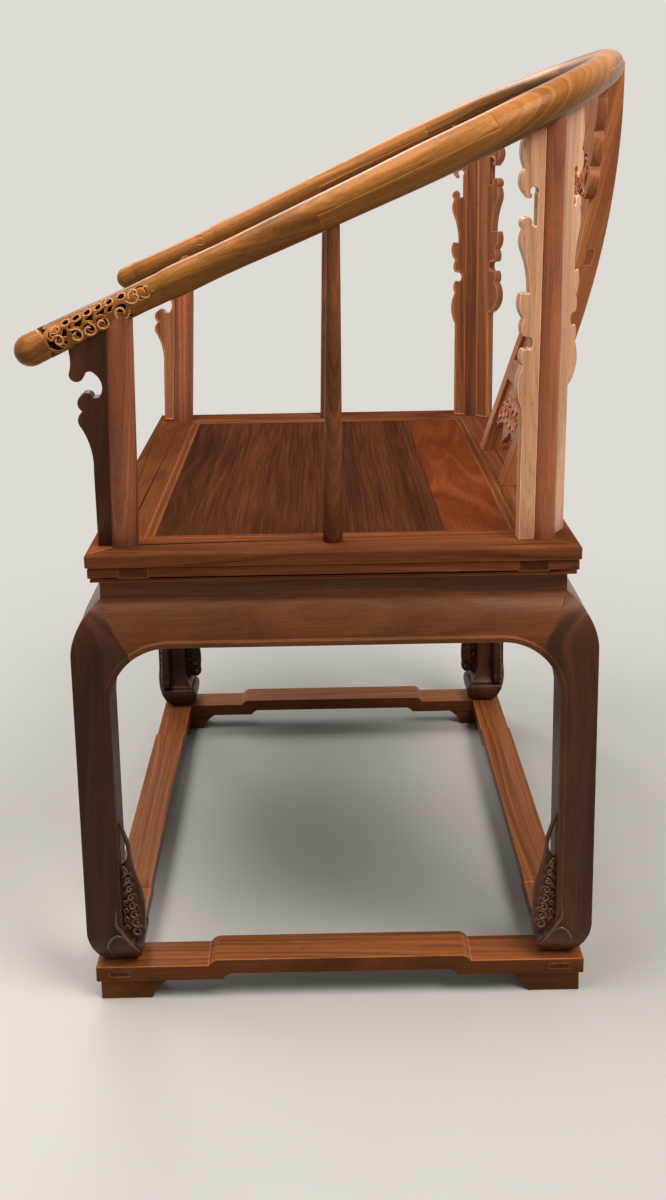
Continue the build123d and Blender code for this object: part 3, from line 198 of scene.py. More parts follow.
@dataclass(frozen=True)
class Rosewood:
    """Huanghuali rosewood, planed, burnished and waxed: a satin film over open pores.

    Above the seat the colour is multiplied by above_seat; faces that look sideways or down are darkened by
    a factor as painted shade.
    """

    name: str
    light: str
    body: str
    dark: str
    vein: str
    ring_mm: float = 5.0
    vein_share: float = 0.4
    roughness: float = 0.33
    wander_mm: float = 9.0
    gloss: float = 0.14
    above_seat: Triple = (1.0, 1.0, 1.0)
    # Painted shade: share of the tone left on faces that look sideways or down.
    painted_side_shade: float = 1.0

    def build(self, grain: Grain, place: Triple, wax: Wax) -> bpy.types.Material:
        """Make the material for timbers whose fibres run one way.

        Args:
            grain: direction of the fibres.
            place: shift of the figure in metres, so that each timber shows another part of the log.
            wax: whether this is the timber's body or its edges, which are lighter partly from wear and
                partly as a painted highlight.

        Returns:
            The node material.
        """
        gain, polish = wax.value
        material = bpy.data.materials.new(f"{self.name}_{grain.name.lower()}_{wax.name.lower()}")
        tree = empty_tree(material)
        coords = add_node(tree, "TexCoord")
        turned = add_node(
            tree, "Mapping", {"vector_type": "POINT", "Rotation": grain.value, "Location": place},
            {"Vector": coords.outputs["Object"]},
        )
        bent = self._wander(tree, turned.outputs[0])
        figure = self._figure(tree, bent)
        fibre, pores = self._fibres(tree, bent)
        grained = self._grained(tree, figure, fibre, pores, gain)
        ended = self._end_grain(tree, coords, grain, grained)
        colour = self._height_tone_and_painted_shade(tree, coords, ended)
        mean = self.roughness - polish
        rough = add_node(
            tree, "MapRange", {**NOISE_RANGE, "To Min": mean + ROUGHER, "To Max": mean - SMOOTHER},
            {"Value": fibre},
        )
        relief = add_node(tree, "Math", {"operation": "SUBTRACT"}, {0: fibre, 1: pores})
        bump = add_node(tree, "Bump", PORE_BUMP, {"Height": relief.outputs[0]})
        shader = add_node(
            tree, "BsdfPrincipled",
            {
                **WAX_FILM, "Specular IOR Level": self.gloss, "Specular Tint": linear(WAX_TINT),
                "Coat Weight": self.gloss / 3,
            },
            {"Base Color": colour, "Roughness": rough.outputs[0], "Normal": bump.outputs[0]},
        )
        add_node(tree, "OutputMaterial", links={"Surface": shader.outputs[0]})
        return material

    def _wander(self, tree: Tree, turned: Socket) -> Socket:
        """Bend the straight log a little, slowly along the fibre.

        Args:
            tree: node tree.
            turned: place in the log, with Z along the fibre.

        Returns:
            The bent place in the log.
        """
        slow = add_node(tree, "VectorMath", {"operation": "MULTIPLY", 1: WANDER_SCALE}, {0: turned})
        noise = add_node(
            tree, "TexNoise", {"Scale": 1.0, "Detail": 1.5, "Roughness": 0.4}, {"Vector": slow.outputs[0]}
        )
        reach = self.wander_mm / METRE / NOISE_SWING
        swing = add_node(
            tree, "VectorMath",
            {"operation": "MULTIPLY_ADD", 1: (reach, reach, 0.0), 2: (-reach / 2, -reach / 2, 0.0)},
            {0: noise.outputs["Color"]},
        )
        bent = add_node(tree, "VectorMath", {"operation": "ADD"}, {0: turned, 1: swing.outputs[0]})
        return bent.outputs[0]

    def _figure(self, tree: Tree, bent: Socket) -> Socket:
        """Growth bands round the pith, broad tone zones and a few narrow dark veins.

        Args:
            tree: node tree.
            bent: place in the log.

        Returns:
            The colour before fibres and pores.
        """
        part = add_node(tree, "SeparateXYZ", links={"Vector": bent})
        across = add_node(tree, "CombineXYZ", links={"X": part.outputs["X"], "Y": part.outputs["Y"]})
        radius = add_node(tree, "VectorMath", {"operation": "LENGTH"}, {0: across.outputs[0]})
        run = add_node(tree, "Math", {"operation": "MULTIPLY", 1: RUN_SHARE}, {0: part.outputs["Z"]})
        turns = add_node(tree, "CombineXYZ", links={"X": radius.outputs["Value"], "Y": run.outputs[0]})
        growth = turns.outputs[0]

        bands = add_node(
            tree, "TexNoise", {**PLANE, "Scale": METRE / self.ring_mm, "Detail": 3.5, "Roughness": 0.6},
            {"Vector": growth},
        )
        zones = add_node(
            tree, "TexNoise", {**PLANE, "Scale": ZONES_PER_METRE, "Detail": 1.0}, {"Vector": growth}
        )
        blend = add_node(
            tree, "Mix", {"data_type": "FLOAT", FACTOR: ZONE_WEIGHT},
            {FIRST_VALUE: bands.outputs["Fac"], SECOND_VALUE: zones.outputs["Fac"]},
        )
        tones = add_node(tree, "ValToRGB", links={"Fac": blend.outputs[MIXED_VALUE]})
        ramp = tones.color_ramp
        ramp.elements.new(TONE_STOPS[1])
        for stop, position, tone in zip(ramp.elements, TONE_STOPS, (self.dark, self.body, self.light)):
            stop.position, stop.color = position, linear(tone)

        moved = add_node(tree, "VectorMath", {"operation": "ADD", 1: VEIN_START}, {0: growth})
        veins = add_node(
            tree, "TexNoise",
            {**PLANE, "Scale": METRE / (self.ring_mm * VEIN_PITCH), "Detail": 3.0, "Roughness": 0.6},
            {"Vector": moved.outputs[0]},
        )
        vein_mask = add_node(
            tree, "MapRange", {**SMOOTH, **VEIN_RANGE, "To Max": self.vein_share},
            {"Value": veins.outputs["Fac"]},
        )
        return add_node(
            tree, "Mix", {**COLOURS, SECOND_COLOUR: linear(self.vein)},
            {FACTOR: vein_mask.outputs[0], FIRST_COLOUR: tones.outputs["Color"]},
        ).outputs[MIXED_COLOUR]

    @staticmethod
    def _fibres(tree: Tree, bent: Socket) -> tuple[Socket, Socket]:
        """Fine fibre streaks, and short open pores.

        Args:
            tree: node tree.
            bent: place in the log.

        Returns:
            The fibre tone and the share of dark pore.
        """
        along = add_node(tree, "VectorMath", {"operation": "MULTIPLY", 1: FIBRE_SCALE}, {0: bent})
        fibre = add_node(tree, "TexNoise", {"Scale": 1.0, "Detail": 2.0}, {"Vector": along.outputs[0]})
        short = add_node(tree, "VectorMath", {"operation": "MULTIPLY", 1: PORE_SCALE}, {0: bent})
        noise = add_node(tree, "TexNoise", {"Scale": 1.0, "Detail": 1.0}, {"Vector": short.outputs[0]})
        pores = add_node(tree, "MapRange", PORE_RANGE, {"Value": noise.outputs["Fac"]})
        return fibre.outputs["Fac"], pores.outputs[0]

    def _grained(self, tree: Tree, figure: Socket, fibre: Socket, pores: Socket, gain: float) -> Socket:
        """Streak the figure with its fibres, and fill the pores with dark.

        Args:
            tree: node tree.
            figure: colour before fibres and pores.
            fibre: fibre tone.
            pores: share of dark pore.
            gain: gain in tone.

        Returns:
            The colour of a face along the fibres.
        """
        streak = add_node(
            tree, "MapRange",
            {**NOISE_RANGE, "To Min": (1 - STREAK) * gain, "To Max": (1 + STREAK) * gain}, {"Value": fibre},
        )
        streaked = add_node(tree, "Mix", TIMES, {FIRST_COLOUR: figure, SECOND_COLOUR: streak.outputs[0]})
        return add_node(
            tree, "Mix", {**COLOURS, SECOND_COLOUR: linear(self.vein)},
            {FACTOR: pores, FIRST_COLOUR: streaked.outputs[MIXED_COLOUR]},
        ).outputs[MIXED_COLOUR]

    def _end_grain(self, tree: Tree, coords: bpy.types.Node, grain: Grain, along: Socket) -> Socket:
        """Darken the faces that cut across the fibres.

        Args:
            tree: node tree.
            coords: texture coordinates.
            grain: direction of the fibres.
            along: colour of a face along the fibres.

        Returns:
            The colour of any face.
        """
        face = add_node(
            tree, "Mapping", {"vector_type": "NORMAL", "Rotation": grain.value},
            {"Vector": coords.outputs["Normal"]},
        )
        axis = add_node(tree, "SeparateXYZ", links={"Vector": face.outputs[0]})
        square_on = add_node(tree, "Math", {"operation": "ABSOLUTE"}, {0: axis.outputs["Z"]})
        cut = add_node(tree, "MapRange", {**SMOOTH, **END_GRAIN}, {"Value": square_on.outputs[0]})
        return add_node(
            tree, "Mix", {**COLOURS, SECOND_COLOUR: linear(self.vein)},
            {FACTOR: cut.outputs[0], FIRST_COLOUR: along},
        ).outputs[MIXED_COLOUR]

    def _height_tone_and_painted_shade(self, tree: Tree, coords: bpy.types.Node, untoned: Socket) -> Socket:
        """Lighten posts above the seat, and darken faces that look sideways or down as painted shade.

        Args:
            tree: node tree.
            coords: texture coordinates.
            untoned: colour before the height tone and the painted shade.

        Returns:
            The colour after the height tone and the painted shade.
        """
        height = add_node(tree, "SeparateXYZ", links={"Vector": coords.outputs["Object"]})
        above = add_node(tree, "MapRange", {**SMOOTH, **SEAT_RANGE}, {"Value": height.outputs["Z"]})
        height_gain = add_node(
            tree, "Mix",
            {**COLOURS, FIRST_COLOUR: (1.0, 1.0, 1.0, 1.0), SECOND_COLOUR: (*self.above_seat, 1.0)},
            {FACTOR: above.outputs[0]},
        )
        height_toned = add_node(
            tree, "Mix", TIMES, {FIRST_COLOUR: untoned, SECOND_COLOUR: height_gain.outputs[MIXED_COLOUR]}
        )
        facing = add_node(tree, "SeparateXYZ", links={"Vector": coords.outputs["Normal"]})
        # Painted shade: faces that look sideways or down are darkened.
        painted_shade_tone = add_node(
            tree, "MapRange", {**SMOOTH, **UPWARD_RANGE, "To Min": self.painted_side_shade},
            {"Value": facing.outputs["Z"]},
        )
        return add_node(
            tree, "Mix", TIMES, {FIRST_COLOUR: height_toned.outputs[MIXED_COLOUR], SECOND_COLOUR: painted_shade_tone.outputs[0]}
        ).outputs[MIXED_COLOUR]


@dataclass(frozen=True)
class FloorPaint:
    """Pale matt studio floor that runs out into an equally pale backdrop."""

    near: str = "#cac7c2"
    mottle: str = "#d0cec9"
    far: str = "#dedad4"
    clear_m: float = 0.42
    lost_m: float = 1.3

    def build(self) -> bpy.types.Material:
        """Make the floor's material.

        Returns:
            The node material.
        """
        material = bpy.data.materials.new("matt_floor_paint")
        tree = empty_tree(material)
        coords = add_node(tree, "TexCoord")
        place = coords.outputs["Object"]
        cloud = add_node(tree, "TexNoise", {"Scale": 3.0, "Detail": 2.0}, {"Vector": place})
        tint = add_node(
            tree, "Mix",
            {**COLOURS, FIRST_COLOUR: linear(self.near), SECOND_COLOUR: linear(self.mottle)},
            {FACTOR: cloud.outputs["Fac"]},
        )
        matt = add_node(
            tree, "BsdfPrincipled", {"Roughness": 0.8, "Specular IOR Level": 0.1},
            {"Base Color": tint.outputs[MIXED_COLOUR]},
        )
        away = add_node(tree, "VectorMath", {"operation": "LENGTH"}, {0: place})
        lost = add_node(
            tree, "MapRange", {**SMOOTH, "From Min": self.clear_m, "From Max": self.lost_m},
            {"Value": away.outputs["Value"]},
        )
        seen = backdrop_rays(tree)
        share = add_node(tree, "Math", {"operation": "MULTIPLY"}, {0: lost.outputs[0], 1: seen})
        pale = add_node(tree, "Emission", {"Color": linear(self.far), "Strength": 1.0})
        mixed = add_node(
            tree, "MixShader", links={0: share.outputs[0], 1: matt.outputs[0], 2: pale.outputs[0]}
        )
        add_node(tree, "OutputMaterial", links={"Surface": mixed.outputs[0]})
        return material


# Hand rail: handled every day, so golden and smooth; faces that look sideways or down are darkened as
# painted shade.
HAND_RAIL = Rosewood(
    "waxed_rosewood_rail", "#bb793c", "#9e642e", "#794920", "#452510",
    ring_mm=5.5, vein_share=0.45, roughness=0.28, gloss=0.16, painted_side_shade=0.6,
)
RAIL_REAR = Rosewood(
    "waxed_rosewood_rail_rear", "#a7682e", "#8b5325", "#6b3d19", "#3e200e",
    ring_mm=6.0, vein_share=0.45, roughness=0.28, wander_mm=12.0, gloss=0.16, painted_side_shade=0.62,
)
# Carved strands: they stand proud, so they wear smoothest and shine most. Their lighter colour is partly
# wear and partly a painted highlight.
HAND_SCROLLS = Rosewood(
    "rubbed_rosewood_scroll", "#c48f5a", "#a87445", "#855630", "#52301a",
    ring_mm=5.5, vein_share=0.3, roughness=0.24, gloss=0.6,
)
HOOF_SCROLLS = Rosewood(
    "rubbed_rosewood_hoof", "#432a20", "#36211a", "#281813", "#180e0a",
    vein_share=0.3, roughness=0.24, gloss=0.7,
)
# Pins, stiles, boards and splat between seat and rail: warm browns with a soft sheen.
POSTS = Rosewood(
    "waxed_rosewood_post", "#9a6040", "#824f33", "#663b25", "#3c2315", roughness=0.31, gloss=0.22
)
STILES = Rosewood("waxed_rosewood_stile", "#85502f", "#6f4026", "#56301c", "#331b11", gloss=0.1)
BOARDS = Rosewood(
    "waxed_rosewood_board", "#ab6c45", "#925939", "#71432a", "#452817",
    vein_share=0.35, roughness=0.32, gloss=0.18,
)
# Left front spandrel: the same wood as its right twin, darkened as painted shade.
PAINTED_SHADE_BOARDS = Rosewood(
    "waxed_rosewood_hand_bracket", "#5b3428", "#48271d", "#371d15", "#22110c", vein_share=0.3
)
# Left rear and inner spandrels: the same wood as their right twins, lightened as a painted sheen.
PAINTED_SHEEN_BOARDS = Rosewood(
    "waxed_rosewood_spandrel", "#e2b190", "#cd9974", "#ab7757", "#653d2b",
    vein_share=0.3, roughness=0.32, gloss=0.2,
)
SPLAT_WOOD = Rosewood("waxed_rosewood_splat", "#b26d43", "#985a36", "#794529", "#472818")
# Legs: dark and dull up to the seat, much lighter where they go on as posts above it.
LEGS = Rosewood(
    "waxed_rosewood_leg", "#452820", "#372019", "#2a1713", "#180d0a", gloss=0.16, above_seat=(7.4, 6.3, 4.3)
)
REAR_LEGS = Rosewood(
    "waxed_rosewood_rear_leg", "#563224", "#45281d", "#341d15", "#1f110c",
    gloss=0.16, above_seat=(4.5, 4.2, 3.3),
)
# Aprons: out of reach of hands, so of an even brown.
APRONS = Rosewood("waxed_rosewood_apron", "#7c482a", "#663a21", "#4e2b19", "#2d1810", ring_mm=4.6)
# Seat: the wax is worn off by cloth, so the fibres show and nothing mirrors.
SEAT_FRAME = Rosewood(
    "waxed_rosewood_seat_frame", "#80492c", "#6a3c23", "#522d1a", "#301a10",
    ring_mm=4.6, vein_share=0.12, roughness=0.38, gloss=0.0,
)
FRONT_BOARD = Rosewood(
    "waxed_rosewood_front_board", "#603622", "#4b2a1b", "#3a2015", "#27140d",
    ring_mm=2.0, vein_share=0.25, roughness=0.46, wander_mm=2.5, gloss=0.0,
)
REAR_BOARD = Rosewood(
    "waxed_rosewood_rear_board", "#7d4124", "#653119", "#4d2313", "#311709",
    ring_mm=6.0, roughness=0.46, wander_mm=22.0, gloss=0.0,
)
# Floor frame: orange brown; its sides and the faces that look down are darkened as painted shade.
FLOOR_FRAME = Rosewood(
    "waxed_rosewood_floor_frame", "#b0693d", "#97572f", "#754424", "#432515",
    ring_mm=4.6, gloss=0.08, painted_side_shade=0.32,
)


@dataclass(frozen=True)
class Cut:
    """What a timber is cut from: the wood, the way its fibres run and its place in the log."""

    wood: Rosewood
    grain: Grain
    place: Triple


def clear_selection() -> None:
    """Deselect everything, so that an operator works on one piece only."""
    bpy.ops.object.select_all(action="DESELECT")


def deselect(kind: str) -> None:
    """Deselect all of the active mesh, so that some of it can be marked in object mode.

    Args:
        kind: what is going to be marked, VERT or FACE.
    """
    bpy.ops.object.mode_set(mode="EDIT")
    bpy.ops.mesh.select_mode(type=kind)
    bpy.ops.mesh.select_all(action="DESELECT")
    bpy.ops.object.mode_set(mode="OBJECT")


def rail_height(y: float) -> float:
    """Height of the hand rail's centre line at a distance behind the seat's middle."""
    return RAIL_BACK_Z - (RAIL_BACK_Y - y) * math.tan(RAIL_SLOPE)


@dataclass
class Bench:
    """The maker's bench: copies a packed timber, carves it, eases its edges and waxes it."""

    nodes: dict[str, Piece]
    merge_gap: float = 2e-6
    same_plane: float = math.radians(0.6)
    crease: float = math.radians(30)
    fold: float = math.radians(62)
    rounding_steps: int = 2
    flat_face_weight: int = 80
    same_way: float = 0.999  # least cosine between normals that look one way
    true_to_face: float = 0.5  # least cosine between a corner's normal and its face's
    logs: dict[Cut, dict[Wax, bpy.types.Material]] = field(default_factory=dict)

    def take(self, name: str, whole_faces: bool = False) -> Piece:
        """Copy a packed timber as one closed mesh, with empty slots for its two materials.

        Args:
            name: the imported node.
            whole_faces: whether flat faces are joined up, for carving.

        Returns:
            The copy, active and alone in the selection.
        """
        clear_selection()
        piece = bpy.data.objects.new(f"{name}_worked", self.nodes[name].data.copy())
        bpy.context.collection.objects.link(piece)
        bpy.context.view_layer.objects.active = piece
        piece.select_set(True)
        bpy.ops.object.mode_set(mode="EDIT")
        bpy.ops.mesh.select_all(action="SELECT")
        bpy.ops.mesh.remove_doubles(threshold=self.merge_gap)
        if whole_faces:
            bpy.ops.mesh.dissolve_limited(angle_limit=self.same_plane)
        bpy.ops.object.mode_set(mode="OBJECT")
        piece.data.materials.clear()
        for _ in Wax:
            piece.data.materials.append(None)
        return piece

    def sink_field(self, piece: Piece, facing: Vector, bead: float, depth: float) -> None:
        """Leave a raised bead along the outline of a flat face and sink the field inside it.

        Args:
            piece: the piece being carved.
            facing: direction that the face looks in.
            bead: width of the bead.
            depth: how far the field is sunk.
        """
        deselect("FACE")
        for polygon in piece.data.polygons:
            polygon.select = polygon.normal.dot(facing) > self.same_way
        bpy.ops.object.mode_set(mode="EDIT")
        bpy.ops.mesh.inset(thickness=bead, use_even_offset=False)
        bpy.ops.mesh.inset(thickness=depth, depth=-depth, use_even_offset=False)
        bpy.ops.object.mode_set(mode="OBJECT")

    def ease(self, piece: Piece, width: float) -> None:
        """Round every sharp edge, as years of hands and wax have done.

        Args:
            piece: the piece being eased, still alone in the selection.
            width: width of the rounding.
        """
        bpy.ops.object.shade_smooth()
        bevel = piece.modifiers.new("eased", "BEVEL")
        bevel.width = width
        bevel.segments = self.rounding_steps
        bevel.limit_method = "ANGLE"
        bevel.angle_limit = self.crease
        bevel.use_clamp_overlap = False
        # The rounded edges take the lighter edge wood, partly wear and partly a painted highlight.
        bevel.material = list(Wax).index(Wax.RUBBED_EDGE)
        bpy.ops.object.modifier_apply(modifier="eased")
        bpy.ops.object.shade_smooth_by_angle(angle=self.fold)
        weighted = piece.modifiers.new("true_faces", "WEIGHTED_NORMAL")
        weighted.mode = "FACE_AREA"
        weighted.weight = self.flat_face_weight
        weighted.keep_sharp = True
        bpy.ops.object.modifier_apply(modifier="true_faces")
        self.flatten_slivers(piece)

    def flatten_slivers(self, piece: Piece) -> None:
        """Give a corner its own face's normal where a sliver beside it has pulled it far off.

        Args:
            piece: the eased piece.
        """
        shown = [corner.vector.copy() for corner in piece.data.corner_normals]
        for polygon in piece.data.polygons:
            for corner in polygon.loop_indices:
                if shown[corner].dot(polygon.normal) < self.true_to_face:
                    shown[corner] = polygon.normal.copy()
        piece.data.normals_split_custom_set(shown)

    def wax(self, piece: Piece, name: str, cut: Cut, slot: str) -> None:
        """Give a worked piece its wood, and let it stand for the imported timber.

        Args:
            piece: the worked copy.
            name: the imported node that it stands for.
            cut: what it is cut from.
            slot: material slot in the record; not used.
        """
        for index, material in enumerate(self.stock(cut).values()):
            piece.data.materials[index] = material
        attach(piece, "root")
        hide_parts(name)
        log.info("%s: %s, %d faces", piece.name, cut.wood.name, len(piece.data.polygons))

    def stock(self, cut: Cut) -> dict[Wax, bpy.types.Material]:
        """Fetch the materials of one part of a log, made at first use.

        Args:
            cut: the wood, its grain and its place in the log.

        Returns:
            The materials of the body and of the edges, lighter partly from wear and partly as a painted
            highlight.
        """
        if cut not in self.logs:
            self.logs[cut] = {wax: cut.wood.build(cut.grain, cut.place, wax) for wax in Wax}
        return self.logs[cut]

    def plain(self, names: tuple[str, ...], cut: Cut, width: float, slot: str = "frame_wood") -> None:
        """Ease and wax timbers that need no carving.

        Args:
            names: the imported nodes.
            cut: what they are cut from.
            width: rounding of their edges.
            slot: material slot in the record.
        """
        for name in names:
            piece = self.take(name)
            self.ease(piece, width)
            self.wax(piece, name, cut, slot)


@dataclass(frozen=True)
class Curl:
    """A strand that winds in towards its eye, in millimetres and degrees."""

    start: float
    turn: float
    reach: float
    end: float
    thick: float
    eye: tuple[float, float]
    squash: float = 1.0


@dataclass
class Carver:
    """Lays tapering carved strands over a surface and joins them into one piece."""

    bench: Bench
    name: str
    cut: Cut
    slot: str
    degrees_per_point: int = 40
    fewest_points: int = 5
    tip_share: float = 0.35
    run_in: float = 0.1
    strands: list[Piece] = field(default_factory=list)

    def strand(self, points: list[Vector], radii: list[float]) -> None:
        """Lay one round strand along a smooth line.

        Args:
            points: control points of the line.
            radii: radius of the strand at each point, in millimetres.
        """
        clear_selection()
        bpy.ops.curve.primitive_nurbs_path_add(location=(0, 0, 0))
        strand = bpy.context.object
        line = strand.data
        line.splines.clear()
        spline = line.splines.new("NURBS")
        spline.points.add(len(points) - 1)
        for knot, point, radius in zip(spline.points, points, radii):
            knot.co = (*point, 1.0)
            knot.radius = radius / METRE
        spline.order_u = 3
        spline.use_endpoint_u = True
        spline.resolution_u = 3
        line.bevel_depth = 1.0
        line.bevel_resolution = 1
        line.use_fill_caps = True
        bpy.ops.object.convert(target="MESH")
        self.strands.append(strand)

    def curl(self, place: Callable[[float, float], Vector], curl: Curl) -> None:
        """Lay a curl that winds in towards its eye, thickest half way.

        Args:
            place: gives the point in space for a place on the surface in millimetres.
            curl: the curl.
        """
        count = max(self.fewest_points, int(abs(curl.turn) / self.degrees_per_point))
        points, radii = [], []
        for i in range(count + 1):
            share = i / count
            angle = math.radians(curl.start + curl.turn * share)
            radius = curl.reach + (curl.end - curl.reach) * share
            along = curl.eye[0] + radius * math.cos(angle)
            rise = curl.eye[1] + curl.squash * radius * math.sin(angle)
            points.append(place(along, rise))
            swell = math.sin(math.pi * (self.run_in + (1 - 2 * self.run_in) * share))
            radii.append(curl.thick * (self.tip_share + (1 - self.tip_share) * swell))
        self.strand(points, radii)

    def finish(self) -> None:
        """Join the strands, wax them and let them ride on the chair."""
        clear_selection()
        for strand in self.strands:
            strand.select_set(True)
        bpy.context.view_layer.objects.active = self.strands[0]
        bpy.ops.object.join()
        piece = bpy.context.object
        piece.name = self.name
        bpy.ops.object.shade_smooth()
        piece.data.materials.clear()
        # All strands take the lighter edge wood, partly wear and partly a painted highlight.
        piece.data.materials.append(self.bench.stock(self.cut)[Wax.RUBBED_EDGE])
        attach(piece, "root")
        log.info("%s: %d strands, %d faces", piece.name, len(self.strands), len(piece.data.polygons))


@dataclass
class HandRail:
    """Five lengths lapped and pinned into one horseshoe, with openwork at both hands.

    The axis holds the centre line of a hand behind its knob as x, y and radius. Curls and links are
    eyes along and above it in millimetres, curls also with their reach; the tail is a leaf of curls.
    """

    bench: Bench
    rounding: float = 0.0006
    arm_rounding: float = 0.0007
    pin_rounding: float = 0.0004
    slot: str = "rail_wood"
    axis: tuple[Triple, ...] = (
        (0.3110, -0.2790, 0.0146), (0.3105, -0.2764, 0.0160), (0.3080, -0.2580, 0.0157),
        (0.3066, -0.2400, 0.0153), (0.3060, -0.2200, 0.0148), (0.3061, -0.2070, 0.0146),
        (0.3065, -0.1950, 0.0147), (0.3070, -0.1855, 0.0146), (0.3072, -0.1820, 0.0134),
    )
    wall_proud: float = 0.0006
    wall_thick: float = 0.0030
    wall_sides: int = 48
    wall_limit: float = 1e-4  # how far outwards of the axis the half shell may reach
    arm_log: Triple = (0.24, 0.06, 0.0)
    hand_y: float = -0.2900
    strand_proud: float = -0.0003
    curls: tuple[Triple, ...] = (
        (31.0, -3.0, 6.5), (48.4, -6.0, 7.6), (61.5, -6.4, 7.8), (75.6, -6.2, 7.0), (97.0, -4.3, 8.6),
    )
    links: tuple[tuple[float, float], ...] = (
        (32.0, 7.6), (43.6, 9.6), (55.0, 9.4), (66.4, 9.6), (77.9, 9.8), (89.9, 9.6), (103.5, 9.2),
    )
    tail: tuple[Curl, ...] = (
        Curl(180, 250, 8.0, 4.0, 1.15, (114.0, 3.5), 0.8),
        Curl(200, -230, 7.0, 3.0, 1.15, (116.0, 6.5), 0.8),
        Curl(170, 200, 6.5, 2.0, 1.15, (128.0, 1.5), 0.8),
        Curl(190, -190, 5.5, 1.5, 1.15, (130.0, 5.5), 0.8),
        Curl(160, 120, 5.0, 1.0, 1.15, (137.0, 3.0), 0.8),
    )

    def build(self) -> None:
        """Ease and wax the rail, then close and carve its hands."""
        arms = ("crest_arm_left", "crest_arm_right")
        for names, wood, grain, place, width in (
            (("crest_centre",), RAIL_REAR, Grain.ACROSS, (0.28, 0.02, 0.6), self.rounding),
            (("crest_shoulder_left",), HAND_RAIL, Grain.SHOULDER_LEFT, (0.26, 0.05, 0.3), self.rounding),
            (("crest_shoulder_right",), HAND_RAIL, Grain.SHOULDER_RIGHT, (0.25, 0.04, 0.9), self.rounding),
            (arms, HAND_RAIL, Grain.ARM, self.arm_log, self.arm_rounding),
            (("crest_scarf_pins",), POSTS, Grain.UPRIGHT, (0.2, 0.1, 0.0), self.pin_rounding),
        ):
            self.bench.plain(names, Cut(wood, grain, place), width, self.slot)
        for side in SIDES:
            self.inner_wall(side)
            self.hand_carving(side)

    def on_arm(self, side: str, along: float, rise: float) -> Vector:
        """Find a point on the outer face of one arm.

        Args:
            side: left or right.
            along: distance from the hand's centre along the arm, in millimetres.
            rise: distance above the arm's axis, square to it, in millimetres.

        Returns:
            The point on the surface.
        """
        y = self.hand_y + along / METRE * math.cos(RAIL_SLOPE)
        for (x0, y0, r0), (x1, y1, r1) in zip(self.axis[1:], self.axis[2:-1]):
            if y <= y1:
                break
        share = (y - y0) / (y1 - y0)
        radius = r0 + (r1 - r0) * min(1.0, share) + self.strand_proud
        up = rise / METRE
        out = x0 + (x1 - x0) * share + math.sqrt(max(radius**2 - up**2, 0.0))
        return Vector((
            OUT[side] * out,
            y + SEAT_SHIFT - up * math.sin(RAIL_SLOPE),
            rail_height(y) + up * math.cos(RAIL_SLOPE),
        ))

    def hand_carving(self, side: str) -> None:
        """Lay rounded scrolls over the openwork, and a leaf tail behind it.

        Args:
            side: left or right.
        """
        cut = Cut(HAND_SCROLLS, Grain.ARM, self.arm_log)
        carver = Carver(self.bench, f"hand_scrolls_{side}", cut, self.slot)
        place = partial(self.on_arm, side)
        for i, (along, rise, reach) in enumerate(self.curls):
            start = 150 - 40 * i
            carver.curl(place, Curl(start, -400, reach, end=0.35 * reach, thick=1.25, eye=(along, rise)))
        for eye in self.links:
            carver.curl(place, Curl(200, 330, reach=5.0, end=4.4, thick=0.95, eye=eye, squash=0.62))
        for curl in self.tail:
            carver.curl(place, curl)
        carver.finish()

    def inner_wall(self, side: str) -> None:
        """Close the inner side of one hand behind the openwork with a smooth half shell.

        Args:
            side: left or right.
        """
        clear_selection()
        out = OUT[side]
        stations = [
            (Vector((out * x, y + SEAT_SHIFT, rail_height(y))), radius) for x, y, radius in self.axis
        ]
        centre, radius = stations[0]
        lean = (RAIL_SLOPE + math.pi / 2, 0.0, 0.0)
        bpy.ops.mesh.primitive_circle_add(vertices=self.wall_sides, location=centre, rotation=lean)
        wall = bpy.context.object
        wall.name = f"hand_inner_wall_{side}"
        bpy.ops.object.transform_apply(location=True, rotation=True, scale=True)
        bpy.ops.object.mode_set(mode="EDIT")
        bpy.ops.mesh.select_all(action="SELECT")
        bpy.ops.transform.resize(value=(radius + self.wall_proud, radius, radius), center_override=centre)
        deselect("VERT")
        for vertex in wall.data.vertices:
            vertex.select = (vertex.co.x - centre.x) * out > self.wall_limit
        bpy.ops.object.mode_set(mode="EDIT")
        bpy.ops.mesh.delete(type="VERT")
        bpy.ops.mesh.select_all(action="SELECT")
        for (here, old), (there, new) in zip(stations, stations[1:]):
            bpy.ops.mesh.extrude_region_move(TRANSFORM_OT_translate={"value": there - here})
            bpy.ops.transform.resize(value=(new / old,) * 3, center_override=there)
        bpy.ops.object.mode_set(mode="OBJECT")
        skin = wall.modifiers.new("wall", "SOLIDIFY")
        skin.thickness = self.wall_thick
        skin.offset = -1.0
        bpy.ops.object.modifier_apply(modifier="wall")
        bpy.ops.object.mode_set(mode="EDIT")
        bpy.ops.mesh.select_all(action="SELECT")
        bpy.ops.mesh.normals_make_consistent(inside=False)
        bpy.ops.object.mode_set(mode="OBJECT")
        bpy.ops.object.shade_smooth_by_angle(angle=self.bench.crease)
        wall.data.materials.append(self.bench.stock(Cut(HAND_RAIL, Grain.ARM, self.arm_log))[Wax.BODY])
        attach(wall, "root")
        log.info("%s: %d faces", wall.name, len(wall.data.polygons))


